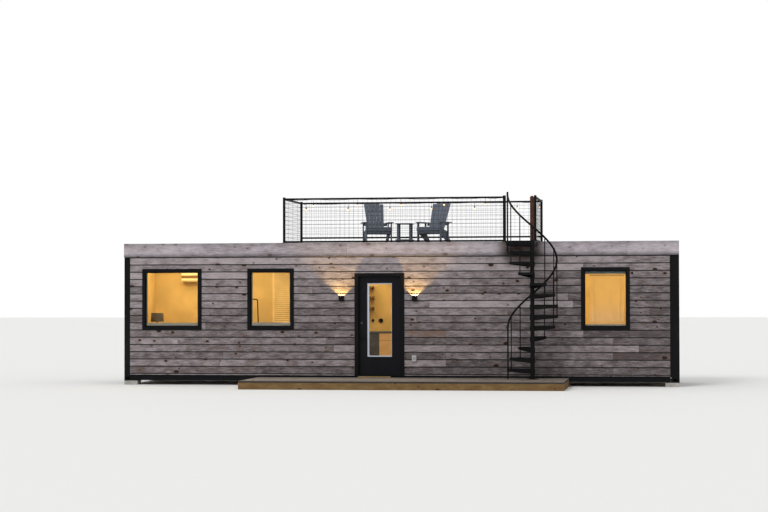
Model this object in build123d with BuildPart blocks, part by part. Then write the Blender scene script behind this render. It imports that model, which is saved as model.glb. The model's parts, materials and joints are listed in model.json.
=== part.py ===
from build123d import *
import math
import os

os.makedirs("parts", exist_ok=True)

# Driving dimensions, in millimetres. X runs along the container, the boarded front faces -Y
# and the ground is Z = 0. Depths named below are measured back from the container's front face,
# and heights called "up" are measured from the container's underside.

# Container shell
LENGTH = 12192.0
WIDTH = 2438.0
HEIGHT = 2896.0
GROUND_GAP = 87.0
CASTING_LENGTH = 178.0
CASTING_WIDTH = 162.0
CASTING_HEIGHT = 118.0
CASTING_WALL = 28.0
SLOT_LENGTH = 100.0
SLOT_WIDTH = 56.0
RAIL_LIFT = 11.0
RAIL_HEIGHT = 139.0
RAIL_FLANGE = 48.0
RAIL_WEB = 6.0
CROSS_PITCH = 620.0
CROSS_FLANGE = 45.0
FLOOR_THICKNESS = 28.0
LEFT_POST = 178.0
RIGHT_POST = 194.0
POST_THICKNESS = 60.0
TOP_RAIL = 60.0
TOP_RAIL_WALL = 5.0
SHEET = 2.0
SHEET_INSET = 5.0
CORRUGATION_DEPTH = 36.0
CORRUGATION_PITCH = 278.0
CORRUGATION_FLAT = 72.0
LINING_FACE = 90.0
LINING_THICKNESS = 15.0
CEILING_DROP = 140.0
FIT = 1.0
SEAT_GAP = 0.3

# Piers
PIER_SIZE = 300.0
MID_PIER_INSET = 4096.0

# Boarded front
CLADDING_THICKNESS = 20.0
CLADDING_UP = 130.0
CLADDING_LEFT_MARGIN = 136.0
CLADDING_RIGHT_MARGIN = 194.0
FASCIA_HEIGHT = 303.0
FASCIA_THICKNESS = 38.0

# Windows: the middle of each, measured in from the nearer end, and its glass width
WINDOW_LEFT_INSET = 1089.0
WINDOW_LEFT_WIDTH = 1219.0
WINDOW_MIDDLE_INSET = 3314.0
WINDOW_MIDDLE_WIDTH = 914.0
WINDOW_RIGHT_INSET = 1566.0
WINDOW_RIGHT_WIDTH = 914.0
WINDOW_HEIGHT = 1219.0
WINDOW_UP = 1190.0
WINDOW_JAMB = 38.0
WINDOW_TRIM = 63.0
TRIM_THICKNESS = 15.0
GLASS_THICKNESS = 20.0
GLASS_BITE = 10.0
GLASS_DEPTH = 10.0

# Front door
DOOR_X = -365.0
LEAF_WIDTH = 914.0
LEAF_HEIGHT = 2134.0
LEAF_THICKNESS = 45.0
FLOOR_CLEARANCE = 8.0
HINGE_GAP = 5.0
LATCH_GAP = 7.0
HEAD_GAP = 5.0
JAMB_THICKNESS = 32.0
DOOR_TRIM_REACH = 84.0
DOOR_TRIM_HEAD = 66.0
THRESHOLD_UP = 115.0
THRESHOLD_THICKNESS = 3.0
STOP_SIZE = 12.0
STOP_DEPTH = 20.0
LITE_WIDTH = 559.0
LITE_HEIGHT = 1623.0
LITE_UP = 523.0
LITE_MOULDING = 30.0
MOULDING_HEIGHT = 8.0
SILL_BOARD_LEFT = -830.0
SILL_BOARD_LENGTH = 710.0
SILL_BOARD_DEPTH = 90.0
SILL_BOARD_THICKNESS = 26.0

# Hinges and lock
HINGE_HEIGHT = 100.0
HINGE_UP = (280.0, 1070.0, 1860.0)
KNUCKLE_RADIUS = 7.0
PIN_RADIUS = 3.0
PLATE_THICKNESS = 2.0
PLATE_DEPTH = 40.0
KNUCKLE_GAP = 0.5
BACKSET = 55.0
BOLT_UP = 1275.0
BOLT_RADIUS = 30.0
BOLT_REACH = 14.0
HANDLE_UP = 950.0
HANDLE_PLATE_HEIGHT = 220.0
HANDLE_PLATE_WIDTH = 56.0
HANDLE_PLATE_THICKNESS = 10.0
HANDLE_REACH = 46.0
LEVER_LENGTH = 120.0
LEVER_SIZE = 18.0

# Lights and socket on the front
SCONCE_LEFT_X = -1200.0
SCONCE_RIGHT_X = 409.0
SCONCE_UP = 1755.0
SCONCE_WIDTH = 106.0
SCONCE_HEIGHT = 110.0
SCONCE_TOP_REACH = 90.0
SCONCE_FOOT_REACH = 62.0
SCONCE_WALL = 4.0
SCONCE_CUP_UP = 31.0
OUTLET_X = 398.0
OUTLET_UP = 440.0
OUTLET_WIDTH = 95.0
OUTLET_HEIGHT = 130.0
OUTLET_REACH = 34.0
OUTLET_LID = 10.0

# Roof deck
JOIST_HEIGHT = 99.0
JOIST_WIDTH = 38.0
JOIST_COUNT = 20
DECK_THICKNESS = 38.0

# Terrace railings
TERRACE_LEFT_X = -2520.0
GATE_POST_X = 2350.0
TERRACE_RIGHT_X = 3020.0
RAILING_INSET = 200.0
RAILING_HEIGHT = 990.0
RAIL_TUBE = 38.0
RAIL_POST = 50.0
GATE_POST = 63.0
POST_CAP = 20.0
POST_FOOT = 100.0
POST_FOOT_THICKNESS = 8.0
FRONT_BAR_UP = 10.0
BACK_BAR_UP = 154.0
WIRE = 5.0
WIRE_COUNT = 9

# String lights
FRONT_BULBS_X = (-1869.0, -889.0, 83.0, 1028.0, 1930.0)
BACK_BULBS_X = (-2404.0, -1424.0, -450.0, 507.0, 1500.0, 2468.0)
SIDE_BULB_DEPTH = 1850.0
CORD = 8.0
LEAD_RADIUS = 3.0
SOCKET_RADIUS = 13.0
SOCKET_LENGTH = 45.0
BULB_RADIUS = 20.0
BULB_DROP = 140.0

# Porch
PORCH_LEFT_X = -3050.0
PORCH_RIGHT_X = 3750.0
PORCH_DEPTH = 2100.0
PORCH_RIM = 140.0
PORCH_LUMBER = 38.0
PORCH_BOARD = 38.0
PORCH_JOIST_COUNT = 16

# Spiral stair
POLE_X = 3014.0
POLE_REACH = 700.0
POLE_RADIUS = 44.5
POLE_UP = 3940.0
POLE_BASE_RADIUS = 125.0
POLE_BASE_THICKNESS = 10.0
STAIR_TURN = 4.4
TREAD_COUNT = 12
TREAD_RADIUS = 544.0
TREAD_PLATE = 6.0
TREAD_OVERLAP = 3.5
HUB_HALF_WIDTH = 45.0
HUB_WALL = 12.0
GUSSET_INNER = 106.0
GUSSET_OUTER = 56.0
GUSSET_WALL = 5.0
BALUSTER_CIRCLE = 520.0
BALUSTER_RADIUS = 11.0
NEWEL_RADIUS = 17.0
HANDRAIL_RADIUS = 21.0
HANDRAIL_START_UP = 1190.0
HANDRAIL_RISE = 2840.0
HANDRAIL_OVERRUN = 3.5
LANDING_REACH = 548.0
LANDING_FRONT = 75.0
LANDING_RIM = 106.0
LANDING_RIM_WALL = 8.0

# Terrace furniture
CHAIR_LEFT_PLACE = (-570.0, 988.0, 20.0)
CHAIR_RIGHT_PLACE = (715.0, 988.0, -22.0)
CHAIR_WIDTH = 590.0
CHAIR_DEPTH = 500.0
CHAIR_BOARD = 22.0
CHAIR_RAIL = 70.0
CHAIR_SEAT_UP = 345.0
CHAIR_SEAT_RUN = 350.0
CHAIR_SEAT_FALL = 100.0
CHAIR_SEAT_SLATS = 4
CHAIR_STRINGER = 110.0
CHAIR_LOW_APRON = 57.0
CHAIR_ARM_UP = 455.0
CHAIR_ARM_WIDTH = 110.0
CHAIR_HEIGHT = 905.0
CHAIR_BACK_LEAN = 23.0
CHAIR_BACK_WIDTH = 450.0
CHAIR_BACK_FOOT_WIDTH = 360.0
CHAIR_BACK_CROWN = 18.0
CHAIR_BACK_SLATS = 5
CHAIR_REAR_POST = 50.0
CHAIR_REAR_POST_UP = 60.0
CHAIR_TOP_RAIL_UP = 540.0
CHAIR_SLAT_GAP = 5.0
TABLE_X = 50.0
TABLE_DEPTH = 1050.0
TABLE_WIDTH = 370.0
TABLE_HEIGHT = 450.0
TABLE_BOARD = 22.0
TABLE_LEG = 42.0
TABLE_LEG_INSET = 27.0
TABLE_STRETCHER_UP = 50.0

# Inside
COUNTER_LEFT_X = -1600.0
COUNTER_LENGTH = 2400.0
COUNTER_DEPTH = 600.0
COUNTER_HEIGHT = 910.0
COUNTER_TOP = 38.0
COUNTER_OVERHANG = 25.0
DRAWERS_FROM_LEFT = 965.0
DRAWER_FRONT = 18.0
TOE_HEIGHT = 100.0
TOE_DEPTH = 60.0
SHELF_LEFT_X = -1500.0
SHELF_LENGTH = 665.0
SHELF_DEPTH = 250.0
SHELF_THICKNESS = 30.0
SHELF_UPS = (1590.0, 1830.0, 2060.0)
BRACKET_DROP = 60.0
BRACKET_WIDTH = 25.0
AIR_UNIT_INSET = 756.0
AIR_UNIT_UP = 2200.0
AIR_UNIT_WIDTH = 800.0
AIR_UNIT_DEPTH = 200.0
AIR_UNIT_HEIGHT = 280.0
AIR_UNIT_EDGE = 50.0
BLIND_LEFT_GAP = 117.0
BLIND_RIGHT_GAP = 62.0
BLIND_DEPTH = 56.0
BLIND_DROP = 70.0
BLIND_END_UP = 1260.0
BLIND_RAIL = 24.0
BLIND_SHEET = 4.0
BLIND_CORD = 3.0
BLIND_CORD_INSET = 122.0

# Levels and faces worked out from the sizes above
BACK_REACH = WIDTH + FASCIA_THICKNESS
FRONT = (PORCH_DEPTH - BACK_REACH) / 2
BACK = FRONT + WIDTH
END = LENGTH / 2
BASE = GROUND_GAP
ROOF = BASE + HEIGHT
RAIL_BOTTOM = BASE + RAIL_LIFT
FLOOR = RAIL_BOTTOM + RAIL_HEIGHT
CEILING = ROOF - CEILING_DROP
DECK = ROOF + JOIST_HEIGHT + DECK_THICKNESS
FASCIA_BOTTOM = DECK - FASCIA_HEIGHT
PORCH = PORCH_RIM + PORCH_BOARD
CLADDING_FACE = FRONT - CLADDING_THICKNESS
INNER_FRONT = FRONT + LINING_FACE
INNER_BACK = BACK - LINING_FACE

JAMB_LEFT = DOOR_X - LEAF_WIDTH / 2 - LATCH_GAP
JAMB_RIGHT = DOOR_X + LEAF_WIDTH / 2 + HINGE_GAP
ROUGH_LEFT = JAMB_LEFT - JAMB_THICKNESS - FIT
ROUGH_RIGHT = JAMB_RIGHT + JAMB_THICKNESS + FIT
LEAF_BOTTOM = FLOOR + FLOOR_CLEARANCE
LEAF_TOP = LEAF_BOTTOM + LEAF_HEIGHT
HEAD = LEAF_TOP + HEAD_GAP
ROUGH_HEAD = HEAD + JAMB_THICKNESS + FIT
LEAF_BACK = FRONT + LINING_FACE
LEAF_FRONT = LEAF_BACK - LEAF_THICKNESS
HINGE_X = JAMB_RIGHT - HINGE_GAP / 2
HINGE_Y = LEAF_BACK + KNUCKLE_RADIUS + FIT

POLE_Y = FRONT - POLE_REACH
RISER = (DECK - PORCH) / (TREAD_COUNT + 1)
STEP_ANGLE = 360 / TREAD_COUNT
FIRST_ANGLE = 180 + STAIR_TURN

WINDOWS = {
    "left": (-END + WINDOW_LEFT_INSET, WINDOW_LEFT_WIDTH),
    "middle": (-END + WINDOW_MIDDLE_INSET, WINDOW_MIDDLE_WIDTH),
    "right": (END - WINDOW_RIGHT_INSET, WINDOW_RIGHT_WIDTH),
}
WINDOW_BOTTOM = BASE + WINDOW_UP
WINDOW_TOP = WINDOW_BOTTOM + WINDOW_HEIGHT


def slab(x, y, z, mode=Mode.ADD):
    """A box between two limits on each axis, added to the part being built."""
    with Locations(((x[0] + x[1]) / 2, (y[0] + y[1]) / 2, (z[0] + z[1]) / 2)):
        Box(x[1] - x[0], y[1] - y[0], z[1] - z[0], mode=mode)


def ring_of_corrugations(length):
    """Outline of a corrugated sheet lying along X from 0 to length, its outer flats on Y = 0."""
    slope = CORRUGATION_PITCH / 2 - CORRUGATION_FLAT
    count = int((length - CORRUGATION_FLAT) // CORRUGATION_PITCH)
    start = (length - count * CORRUGATION_PITCH - CORRUGATION_FLAT) / 2
    crests = [(0, 0)]
    for index in range(count):
        x = start + CORRUGATION_FLAT + index * CORRUGATION_PITCH
        crests.append((x, 0))
        crests.append((x + slope, CORRUGATION_DEPTH - SHEET))
        crests.append((x + slope + CORRUGATION_FLAT, CORRUGATION_DEPTH - SHEET))
        crests.append((x + CORRUGATION_PITCH - CORRUGATION_FLAT, 0))
    crests.append((length, 0))
    backs = [(x, y + SHEET) for x, y in reversed(crests)]
    return crests + backs


def corrugated_sheet(plane, length, height):
    """Extrude the corrugated outline up from a plane into the part being built."""
    with BuildSketch(plane) as outline:
        with BuildLine():
            Polyline(*ring_of_corrugations(length), close=True)
        make_face()
    extrude(outline.sketch, amount=height)


def cut_windows(y, names, extra):
    """Cut the window openings, widened by extra on every side, from the part being built."""
    for name in names:
        middle, width = WINDOWS[name]
        x = (middle - width / 2 - extra, middle + width / 2 + extra)
        slab(x, y, (WINDOW_BOTTOM - extra, WINDOW_TOP + extra), mode=Mode.SUBTRACT)


# Ground: blocks under the castings, and taller ones under the side rails between them
with BuildPart() as concrete_piers:
    for side in (-1, 1):
        for edge in (FRONT, BACK - PIER_SIZE):
            outer = side * END
            inner = side * (END - PIER_SIZE)
            slab((min(outer, inner), max(outer, inner)), (edge, edge + PIER_SIZE), (0, BASE))
            middle = side * (END - MID_PIER_INSET)
            x = (middle - PIER_SIZE / 2, middle + PIER_SIZE / 2)
            slab(x, (edge, edge + PIER_SIZE), (0, RAIL_BOTTOM))


# Steel underframe: channel rails open inward, tied by cross channels
def channel(plane, height, length):
    """A channel section with its web on the plane's Y axis, extruded along the plane's normal."""
    with BuildSketch(plane) as section:
        with Locations((RAIL_FLANGE / 2, height / 2)):
            Rectangle(RAIL_FLANGE, height)
        with Locations((RAIL_FLANGE / 2 + RAIL_WEB, height / 2)):
            Rectangle(RAIL_FLANGE, height - 2 * RAIL_WEB, mode=Mode.SUBTRACT)
    extrude(section.sketch, amount=length)


CROSS_HEIGHT = RAIL_HEIGHT - FLOOR_THICKNESS
BETWEEN_POSTS = LENGTH - LEFT_POST - RIGHT_POST
END_RAIL_LENGTH = WIDTH - 2 * CASTING_WIDTH
with BuildPart() as base_frame:
    rail_start = -END + LEFT_POST
    rail_stop = END - RIGHT_POST
    sill_start = FRONT + CASTING_WIDTH
    sill_end = BACK - CASTING_WIDTH
    channel(Plane((rail_start, FRONT, RAIL_BOTTOM), (0, 1, 0), (1, 0, 0)), RAIL_HEIGHT, BETWEEN_POSTS)
    channel(Plane((rail_stop, BACK, RAIL_BOTTOM), (0, -1, 0), (-1, 0, 0)), RAIL_HEIGHT, BETWEEN_POSTS)
    channel(Plane((-END, sill_end, RAIL_BOTTOM), (1, 0, 0), (0, -1, 0)), RAIL_HEIGHT, END_RAIL_LENGTH)
    channel(Plane((END, sill_start, RAIL_BOTTOM), (-1, 0, 0), (0, 1, 0)), RAIL_HEIGHT, END_RAIL_LENGTH)
    cross_count = int((BETWEEN_POSTS - CROSS_FLANGE) // CROSS_PITCH) + 1
    cross_margin = (BETWEEN_POSTS - CROSS_FLANGE - (cross_count - 1) * CROSS_PITCH) / 2
    first_cross = rail_start + cross_margin
    for index in range(cross_count):
        x = first_cross + index * CROSS_PITCH
        y = (FRONT + RAIL_WEB, BACK - RAIL_WEB)
        z = (RAIL_BOTTOM, RAIL_BOTTOM + CROSS_HEIGHT)
        slab((x, x + RAIL_WEB), y, z)
        slab((x, x + CROSS_FLANGE), y, (z[1] - RAIL_WEB, z[1]))
        slab((x, x + CROSS_FLANGE), y, (z[0], z[0] + RAIL_WEB))

with BuildPart() as floor:
    floor_inset = max(RAIL_FLANGE, POST_THICKNESS) + FIT
    inner_x = END - floor_inset
    inner_y = (FRONT + floor_inset, BACK - floor_inset)
    slab((-inner_x, inner_x), inner_y, (FLOOR - FLOOR_THICKNESS, FLOOR))

# Corner posts are folded L sections standing between the castings
with BuildPart() as corner_posts:
    for side, reach in ((-1, LEFT_POST), (1, RIGHT_POST)):
        for edge, inward in ((FRONT, 1), (BACK, -1)):
            height = HEIGHT - 2 * CASTING_HEIGHT
            with BuildSketch(Plane.XY.offset(BASE + CASTING_HEIGHT)) as section:
                with Locations((side * (END - reach / 2), edge + inward * POST_THICKNESS / 2)):
                    Rectangle(reach, POST_THICKNESS)
                with Locations((side * (END - POST_THICKNESS / 2), edge + inward * CASTING_WIDTH / 2)):
                    Rectangle(POST_THICKNESS, CASTING_WIDTH)
            extrude(section.sketch, amount=height)

# Corner castings: thick-walled boxes with a slot in the three outer faces
with BuildPart() as corner_castings:
    for side in (-1, 1):
        for edge, inward in ((FRONT, 1), (BACK, -1)):
            for level, outward in ((BASE, -1), (ROOF - CASTING_HEIGHT, 1)):
                middle = (
                    side * (END - CASTING_LENGTH / 2),
                    edge + inward * CASTING_WIDTH / 2,
                    level + CASTING_HEIGHT / 2,
                )
                with Locations(middle):
                    Box(CASTING_LENGTH, CASTING_WIDTH, CASTING_HEIGHT)
                    Box(
                        CASTING_LENGTH - 2 * CASTING_WALL,
                        CASTING_WIDTH - 2 * CASTING_WALL,
                        CASTING_HEIGHT - 2 * CASTING_WALL,
                        mode=Mode.SUBTRACT,
                    )
                cap = Plane(middle, x_dir=(1, 0, 0), z_dir=(0, 0, outward))
                face = Plane(middle, x_dir=(1, 0, 0), z_dir=(0, -inward, 0))
                cheek = Plane(middle, x_dir=(0, 1, 0), z_dir=(side, 0, 0))
                for plane in (cap, face, cheek):
                    with BuildSketch(plane) as slot:
                        SlotOverall(SLOT_LENGTH, SLOT_WIDTH)
                    extrude(slot.sketch, amount=CASTING_LENGTH, mode=Mode.SUBTRACT)

# Hollow top rails between the upper castings
with BuildPart() as top_rails:
    rail_z = (ROOF - SHEET - TOP_RAIL, ROOF - SHEET)
    rail_end = END - CASTING_LENGTH
    bore = TOP_RAIL - 2 * TOP_RAIL_WALL
    for edge, inward in ((FRONT, 1), (BACK, -1)):
        with BuildSketch(Plane.YZ.offset(-rail_end)) as section:
            with Locations((edge + inward * TOP_RAIL / 2, rail_z[0] + TOP_RAIL / 2)):
                Rectangle(TOP_RAIL, TOP_RAIL)
                Rectangle(bore, bore, mode=Mode.SUBTRACT)
        extrude(section.sketch, amount=2 * rail_end)
    for side in (-1, 1):
        with BuildSketch(Plane.XZ.offset(-sill_end)) as section:
            with Locations((side * (END - TOP_RAIL / 2), rail_z[0] + TOP_RAIL / 2)):
                Rectangle(TOP_RAIL, TOP_RAIL)
                Rectangle(bore, bore, mode=Mode.SUBTRACT)
        extrude(section.sketch, amount=END_RAIL_LENGTH)

WALL_HEIGHT = rail_z[0] - FLOOR
with BuildPart() as back_wall:
    origin = (END - RIGHT_POST, BACK - SHEET_INSET, FLOOR)
    corrugated_sheet(Plane(origin, x_dir=(-1, 0, 0), z_dir=(0, 0, 1)), BETWEEN_POSTS, WALL_HEIGHT)

with BuildPart() as end_walls:
    origin = (-END + SHEET_INSET, sill_end, FLOOR)
    corrugated_sheet(Plane(origin, x_dir=(0, -1, 0), z_dir=(0, 0, 1)), END_RAIL_LENGTH, WALL_HEIGHT)
    origin = (END - SHEET_INSET, sill_start, FLOOR)
    corrugated_sheet(Plane(origin, x_dir=(0, 1, 0), z_dir=(0, 0, 1)), END_RAIL_LENGTH, WALL_HEIGHT)

# The front sheet stands in three pieces: left of the door, right of it and over it
WINDOW_ROUGH = WINDOW_JAMB + FIT
FRONT_SHEET = (FRONT, FRONT + LINING_FACE)
with BuildPart() as front_wall:
    origin = (-END + LEFT_POST, FRONT + SHEET_INSET, FLOOR)
    corrugated_sheet(Plane(origin), BETWEEN_POSTS, WALL_HEIGHT)
    cut_windows(FRONT_SHEET, WINDOWS, WINDOW_ROUGH)
    slab((ROUGH_LEFT, ROUGH_RIGHT), FRONT_SHEET, (FLOOR, ROUGH_HEAD), mode=Mode.SUBTRACT)
    for x in (ROUGH_LEFT, ROUGH_RIGHT):
        slab((x - FIT, x + FIT), FRONT_SHEET, (FLOOR, ROOF), mode=Mode.SUBTRACT)

with BuildPart() as container_roof:
    slab((-END, END), (FRONT, BACK), (ROOF - SHEET, ROOF))
    for side in (-1, 1):
        for edge, inward in ((FRONT, 1), (BACK, -1)):
            with Locations((side * END, edge, ROOF)):
                notch_x = 2 * (CASTING_LENGTH + FIT)
                Box(notch_x, 2 * (CASTING_WIDTH + FIT), TOP_RAIL, mode=Mode.SUBTRACT)

# Boards on the front, beside and over the door
CLADDING_Y = (FRONT - CLADDING_THICKNESS, FRONT)
CLADDING_Z = (BASE + CLADDING_UP, FASCIA_BOTTOM)
with BuildPart() as cladding_left:
    slab((-END + CLADDING_LEFT_MARGIN, ROUGH_LEFT), CLADDING_Y, CLADDING_Z)
    cut_windows(CLADDING_Y, ("left", "middle"), WINDOW_ROUGH)

with BuildPart() as cladding_right:
    slab((ROUGH_RIGHT, END - CLADDING_RIGHT_MARGIN), CLADDING_Y, CLADDING_Z)
    cut_windows(CLADDING_Y, ("right",), WINDOW_ROUGH)

with BuildPart() as cladding_head:
    slab((ROUGH_LEFT, ROUGH_RIGHT), CLADDING_Y, (ROUGH_HEAD, FASCIA_BOTTOM))

# Fascia on the long sides, rims over the end rails
with BuildPart() as fascia_boards:
    slab((-END, END), (FRONT - FASCIA_THICKNESS, FRONT), (FASCIA_BOTTOM, DECK))
    slab((-END, END), (BACK, BACK + FASCIA_THICKNESS), (FASCIA_BOTTOM, DECK))
    for side in (-1, 1):
        middle = side * (END - FASCIA_THICKNESS / 2)
        x = (middle - FASCIA_THICKNESS / 2, middle + FASCIA_THICKNESS / 2)
        slab(x, (FRONT + FIT, BACK - FIT), (ROOF, DECK))

# Room skin
with BuildPart() as inner_linings:
    lining_end = END - LINING_FACE + LINING_THICKNESS
    back_y = (INNER_BACK, INNER_BACK + LINING_THICKNESS)
    front_y = (INNER_FRONT - LINING_THICKNESS, INNER_FRONT)
    slab((-lining_end, lining_end), back_y, (FLOOR, CEILING))
    for side in (-1, 1):
        middle = side * (lining_end - LINING_THICKNESS / 2)
        x = (middle - LINING_THICKNESS / 2, middle + LINING_THICKNESS / 2)
        slab(x, (INNER_FRONT + FIT, INNER_BACK - FIT), (FLOOR, CEILING))
    slab((-lining_end, lining_end), front_y, (FLOOR, CEILING))
    cut_windows(front_y, WINDOWS, WINDOW_ROUGH)
    slab((ROUGH_LEFT, ROUGH_RIGHT), front_y, (FLOOR, ROUGH_HEAD), mode=Mode.SUBTRACT)
    for x in (ROUGH_LEFT, ROUGH_RIGHT):
        slab((x - FIT, x + FIT), front_y, (FLOOR, CEILING), mode=Mode.SUBTRACT)

with BuildPart() as ceiling:
    ceiling_y = (INNER_FRONT - LINING_THICKNESS, INNER_BACK + LINING_THICKNESS)
    slab((-lining_end, lining_end), ceiling_y, (CEILING, CEILING + LINING_THICKNESS))


# Windows: a box frame through the wall with a grooved edge for the pane and a face trim
def window_frame(middle, width):
    """Add one window's frame to the part being built."""
    outer = width / 2 + WINDOW_JAMB
    trim = width / 2 + WINDOW_TRIM
    glass = width / 2 + GLASS_BITE
    pane = FRONT + GLASS_DEPTH
    trim_front = CLADDING_FACE - TRIM_THICKNESS
    z_jamb = (WINDOW_BOTTOM - WINDOW_JAMB, WINDOW_TOP + WINDOW_JAMB)
    z_trim = (WINDOW_BOTTOM - WINDOW_TRIM, WINDOW_TOP + WINDOW_TRIM)
    z_glass = (WINDOW_BOTTOM - GLASS_BITE, WINDOW_TOP + GLASS_BITE)
    slab((middle - outer, middle + outer), (CLADDING_FACE, INNER_FRONT), z_jamb)
    slab((middle - trim, middle + trim), (trim_front, CLADDING_FACE), z_trim)
    through = (trim_front, INNER_FRONT)
    x = (middle - width / 2, middle + width / 2)
    slab(x, through, (WINDOW_BOTTOM, WINDOW_TOP), mode=Mode.SUBTRACT)
    groove = (pane, pane + GLASS_THICKNESS)
    slab((middle - glass, middle + glass), groove, z_glass, mode=Mode.SUBTRACT)


with BuildPart() as window_frame_left:
    window_frame(*WINDOWS["left"])

with BuildPart() as window_frame_middle:
    window_frame(*WINDOWS["middle"])

with BuildPart() as window_frame_right:
    window_frame(*WINDOWS["right"])

with BuildPart() as window_glass:
    edge = GLASS_BITE - SEAT_GAP
    for middle, width in WINDOWS.values():
        x = (middle - width / 2 - edge, middle + width / 2 + edge)
        y = (FRONT + GLASS_DEPTH + SEAT_GAP, FRONT + GLASS_DEPTH + GLASS_THICKNESS - SEAT_GAP)
        slab(x, y, (WINDOW_BOTTOM - edge, WINDOW_TOP + edge))

# Lowered blind on two cords inside the right window
with BuildPart() as window_blind:
    middle, width = WINDOWS["right"]
    x = (middle - width / 2 + BLIND_LEFT_GAP, middle + width / 2 - BLIND_RIGHT_GAP)
    rail_y = (FRONT + BLIND_DEPTH, FRONT + BLIND_DEPTH + BLIND_RAIL)
    sheet_y = FRONT + BLIND_DEPTH + BLIND_RAIL / 2
    blind_top = WINDOW_TOP - BLIND_DROP
    blind_end = BASE + BLIND_END_UP
    slab(x, rail_y, (WINDOW_TOP - BLIND_RAIL, WINDOW_TOP))
    slab(x, rail_y, (blind_top - BLIND_RAIL, blind_top))
    slab(x, rail_y, (blind_end, blind_end + BLIND_RAIL))
    slab(x, (sheet_y - BLIND_SHEET / 2, sheet_y + BLIND_SHEET / 2), (blind_end, blind_top))
    cord = (sheet_y - BLIND_CORD / 2, sheet_y + BLIND_CORD / 2)
    for cord_x in (x[0] + BLIND_CORD_INSET, x[1] - BLIND_CORD_INSET - BLIND_CORD):
        slab((cord_x, cord_x + BLIND_CORD), cord, (blind_top - BLIND_RAIL, WINDOW_TOP))

# Door frame: jambs, head, outside trim, stops and threshold
with BuildPart() as door_frame:
    jamb_x = (JAMB_LEFT - JAMB_THICKNESS, JAMB_RIGHT + JAMB_THICKNESS)
    trim_x = (JAMB_LEFT - DOOR_TRIM_REACH, JAMB_RIGHT + DOOR_TRIM_REACH)
    trim_y = (CLADDING_FACE - TRIM_THICKNESS, CLADDING_FACE)
    clear_x = (JAMB_LEFT, JAMB_RIGHT)
    threshold = BASE + THRESHOLD_UP
    slab(jamb_x, (FRONT, INNER_FRONT), (FLOOR, HEAD + JAMB_THICKNESS))
    slab(jamb_x, (CLADDING_FACE, FRONT), (threshold, HEAD + JAMB_THICKNESS))
    slab(trim_x, trim_y, (threshold, HEAD + DOOR_TRIM_HEAD))
    slab(clear_x, (trim_y[0], INNER_FRONT), (threshold, HEAD), mode=Mode.SUBTRACT)
    stop_y = (FRONT + STOP_DEPTH, LEAF_FRONT - HEAD_GAP)
    slab(clear_x, stop_y, (FLOOR, HEAD))
    stop_clear = (JAMB_LEFT + STOP_SIZE, JAMB_RIGHT - STOP_SIZE)
    slab(stop_clear, stop_y, (FLOOR, HEAD - STOP_SIZE), mode=Mode.SUBTRACT)
    slab(clear_x, (trim_y[0], FRONT), (threshold, FLOOR + THRESHOLD_THICKNESS))
    slab(clear_x, (FRONT, INNER_FRONT), (FLOOR, FLOOR + THRESHOLD_THICKNESS))

with BuildPart() as door_sill:
    sill_x = (SILL_BOARD_LEFT, SILL_BOARD_LEFT + SILL_BOARD_LENGTH)
    sill_y = (trim_y[0] - SILL_BOARD_DEPTH, trim_y[0])
    slab(sill_x, sill_y, (PORCH, PORCH + SILL_BOARD_THICKNESS))

# Door leaf with its full-height lite
LITE_BOTTOM = BASE + LITE_UP
LITE_TOP = LITE_BOTTOM + LITE_HEIGHT
PANE_Y = (LEAF_FRONT + LEAF_BACK - GLASS_THICKNESS) / 2
with BuildPart() as door_leaf:
    leaf_x = (DOOR_X - LEAF_WIDTH / 2, DOOR_X + LEAF_WIDTH / 2)
    lite_x = (DOOR_X - LITE_WIDTH / 2, DOOR_X + LITE_WIDTH / 2)
    moulding_x = (lite_x[0] - LITE_MOULDING, lite_x[1] + LITE_MOULDING)
    moulding_y = (LEAF_FRONT - MOULDING_HEIGHT, LEAF_BACK + MOULDING_HEIGHT)
    slab(leaf_x, (LEAF_FRONT, LEAF_BACK), (LEAF_BOTTOM, LEAF_TOP))
    slab(moulding_x, moulding_y, (LITE_BOTTOM - LITE_MOULDING, LITE_TOP + LITE_MOULDING))
    slab(lite_x, moulding_y, (LITE_BOTTOM, LITE_TOP), mode=Mode.SUBTRACT)
    groove_x = (lite_x[0] - GLASS_BITE, lite_x[1] + GLASS_BITE)
    groove_y = (PANE_Y, PANE_Y + GLASS_THICKNESS)
    groove_z = (LITE_BOTTOM - GLASS_BITE, LITE_TOP + GLASS_BITE)
    slab(groove_x, groove_y, groove_z, mode=Mode.SUBTRACT)

with BuildPart() as door_glass:
    slab(
        (groove_x[0] + SEAT_GAP, groove_x[1] - SEAT_GAP),
        (groove_y[0] + SEAT_GAP, groove_y[1] - SEAT_GAP),
        (groove_z[0] + SEAT_GAP, groove_z[1] - SEAT_GAP),
    )


# Butt hinges: the jamb's plate carries the pin and the outer knuckles, the door's the middle one
def knuckle(bottom, height, radius, mode=Mode.ADD):
    """A cylinder on the hinge axis, standing on a level."""
    with Locations((HINGE_X, HINGE_Y, bottom)):
        Cylinder(radius, height, align=(Align.CENTER, Align.CENTER, Align.MIN), mode=mode)


KNUCKLE_HEIGHT = HINGE_HEIGHT / 3
PLATE_FRONT = LEAF_BACK - PLATE_DEPTH
with BuildPart() as door_hinges:
    for up in HINGE_UP:
        low = LEAF_BOTTOM + up
        mid = low + KNUCKLE_HEIGHT
        plate_x = (JAMB_RIGHT - PLATE_THICKNESS, JAMB_RIGHT)
        slab(plate_x, (PLATE_FRONT, HINGE_Y), (low, low + HINGE_HEIGHT))
        knuckle(mid, KNUCKLE_HEIGHT, KNUCKLE_RADIUS + KNUCKLE_GAP, mode=Mode.SUBTRACT)
        knuckle(low, KNUCKLE_HEIGHT, KNUCKLE_RADIUS)
        knuckle(low + 2 * KNUCKLE_HEIGHT, KNUCKLE_HEIGHT, KNUCKLE_RADIUS)
        knuckle(low, HINGE_HEIGHT, PIN_RADIUS)


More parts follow.
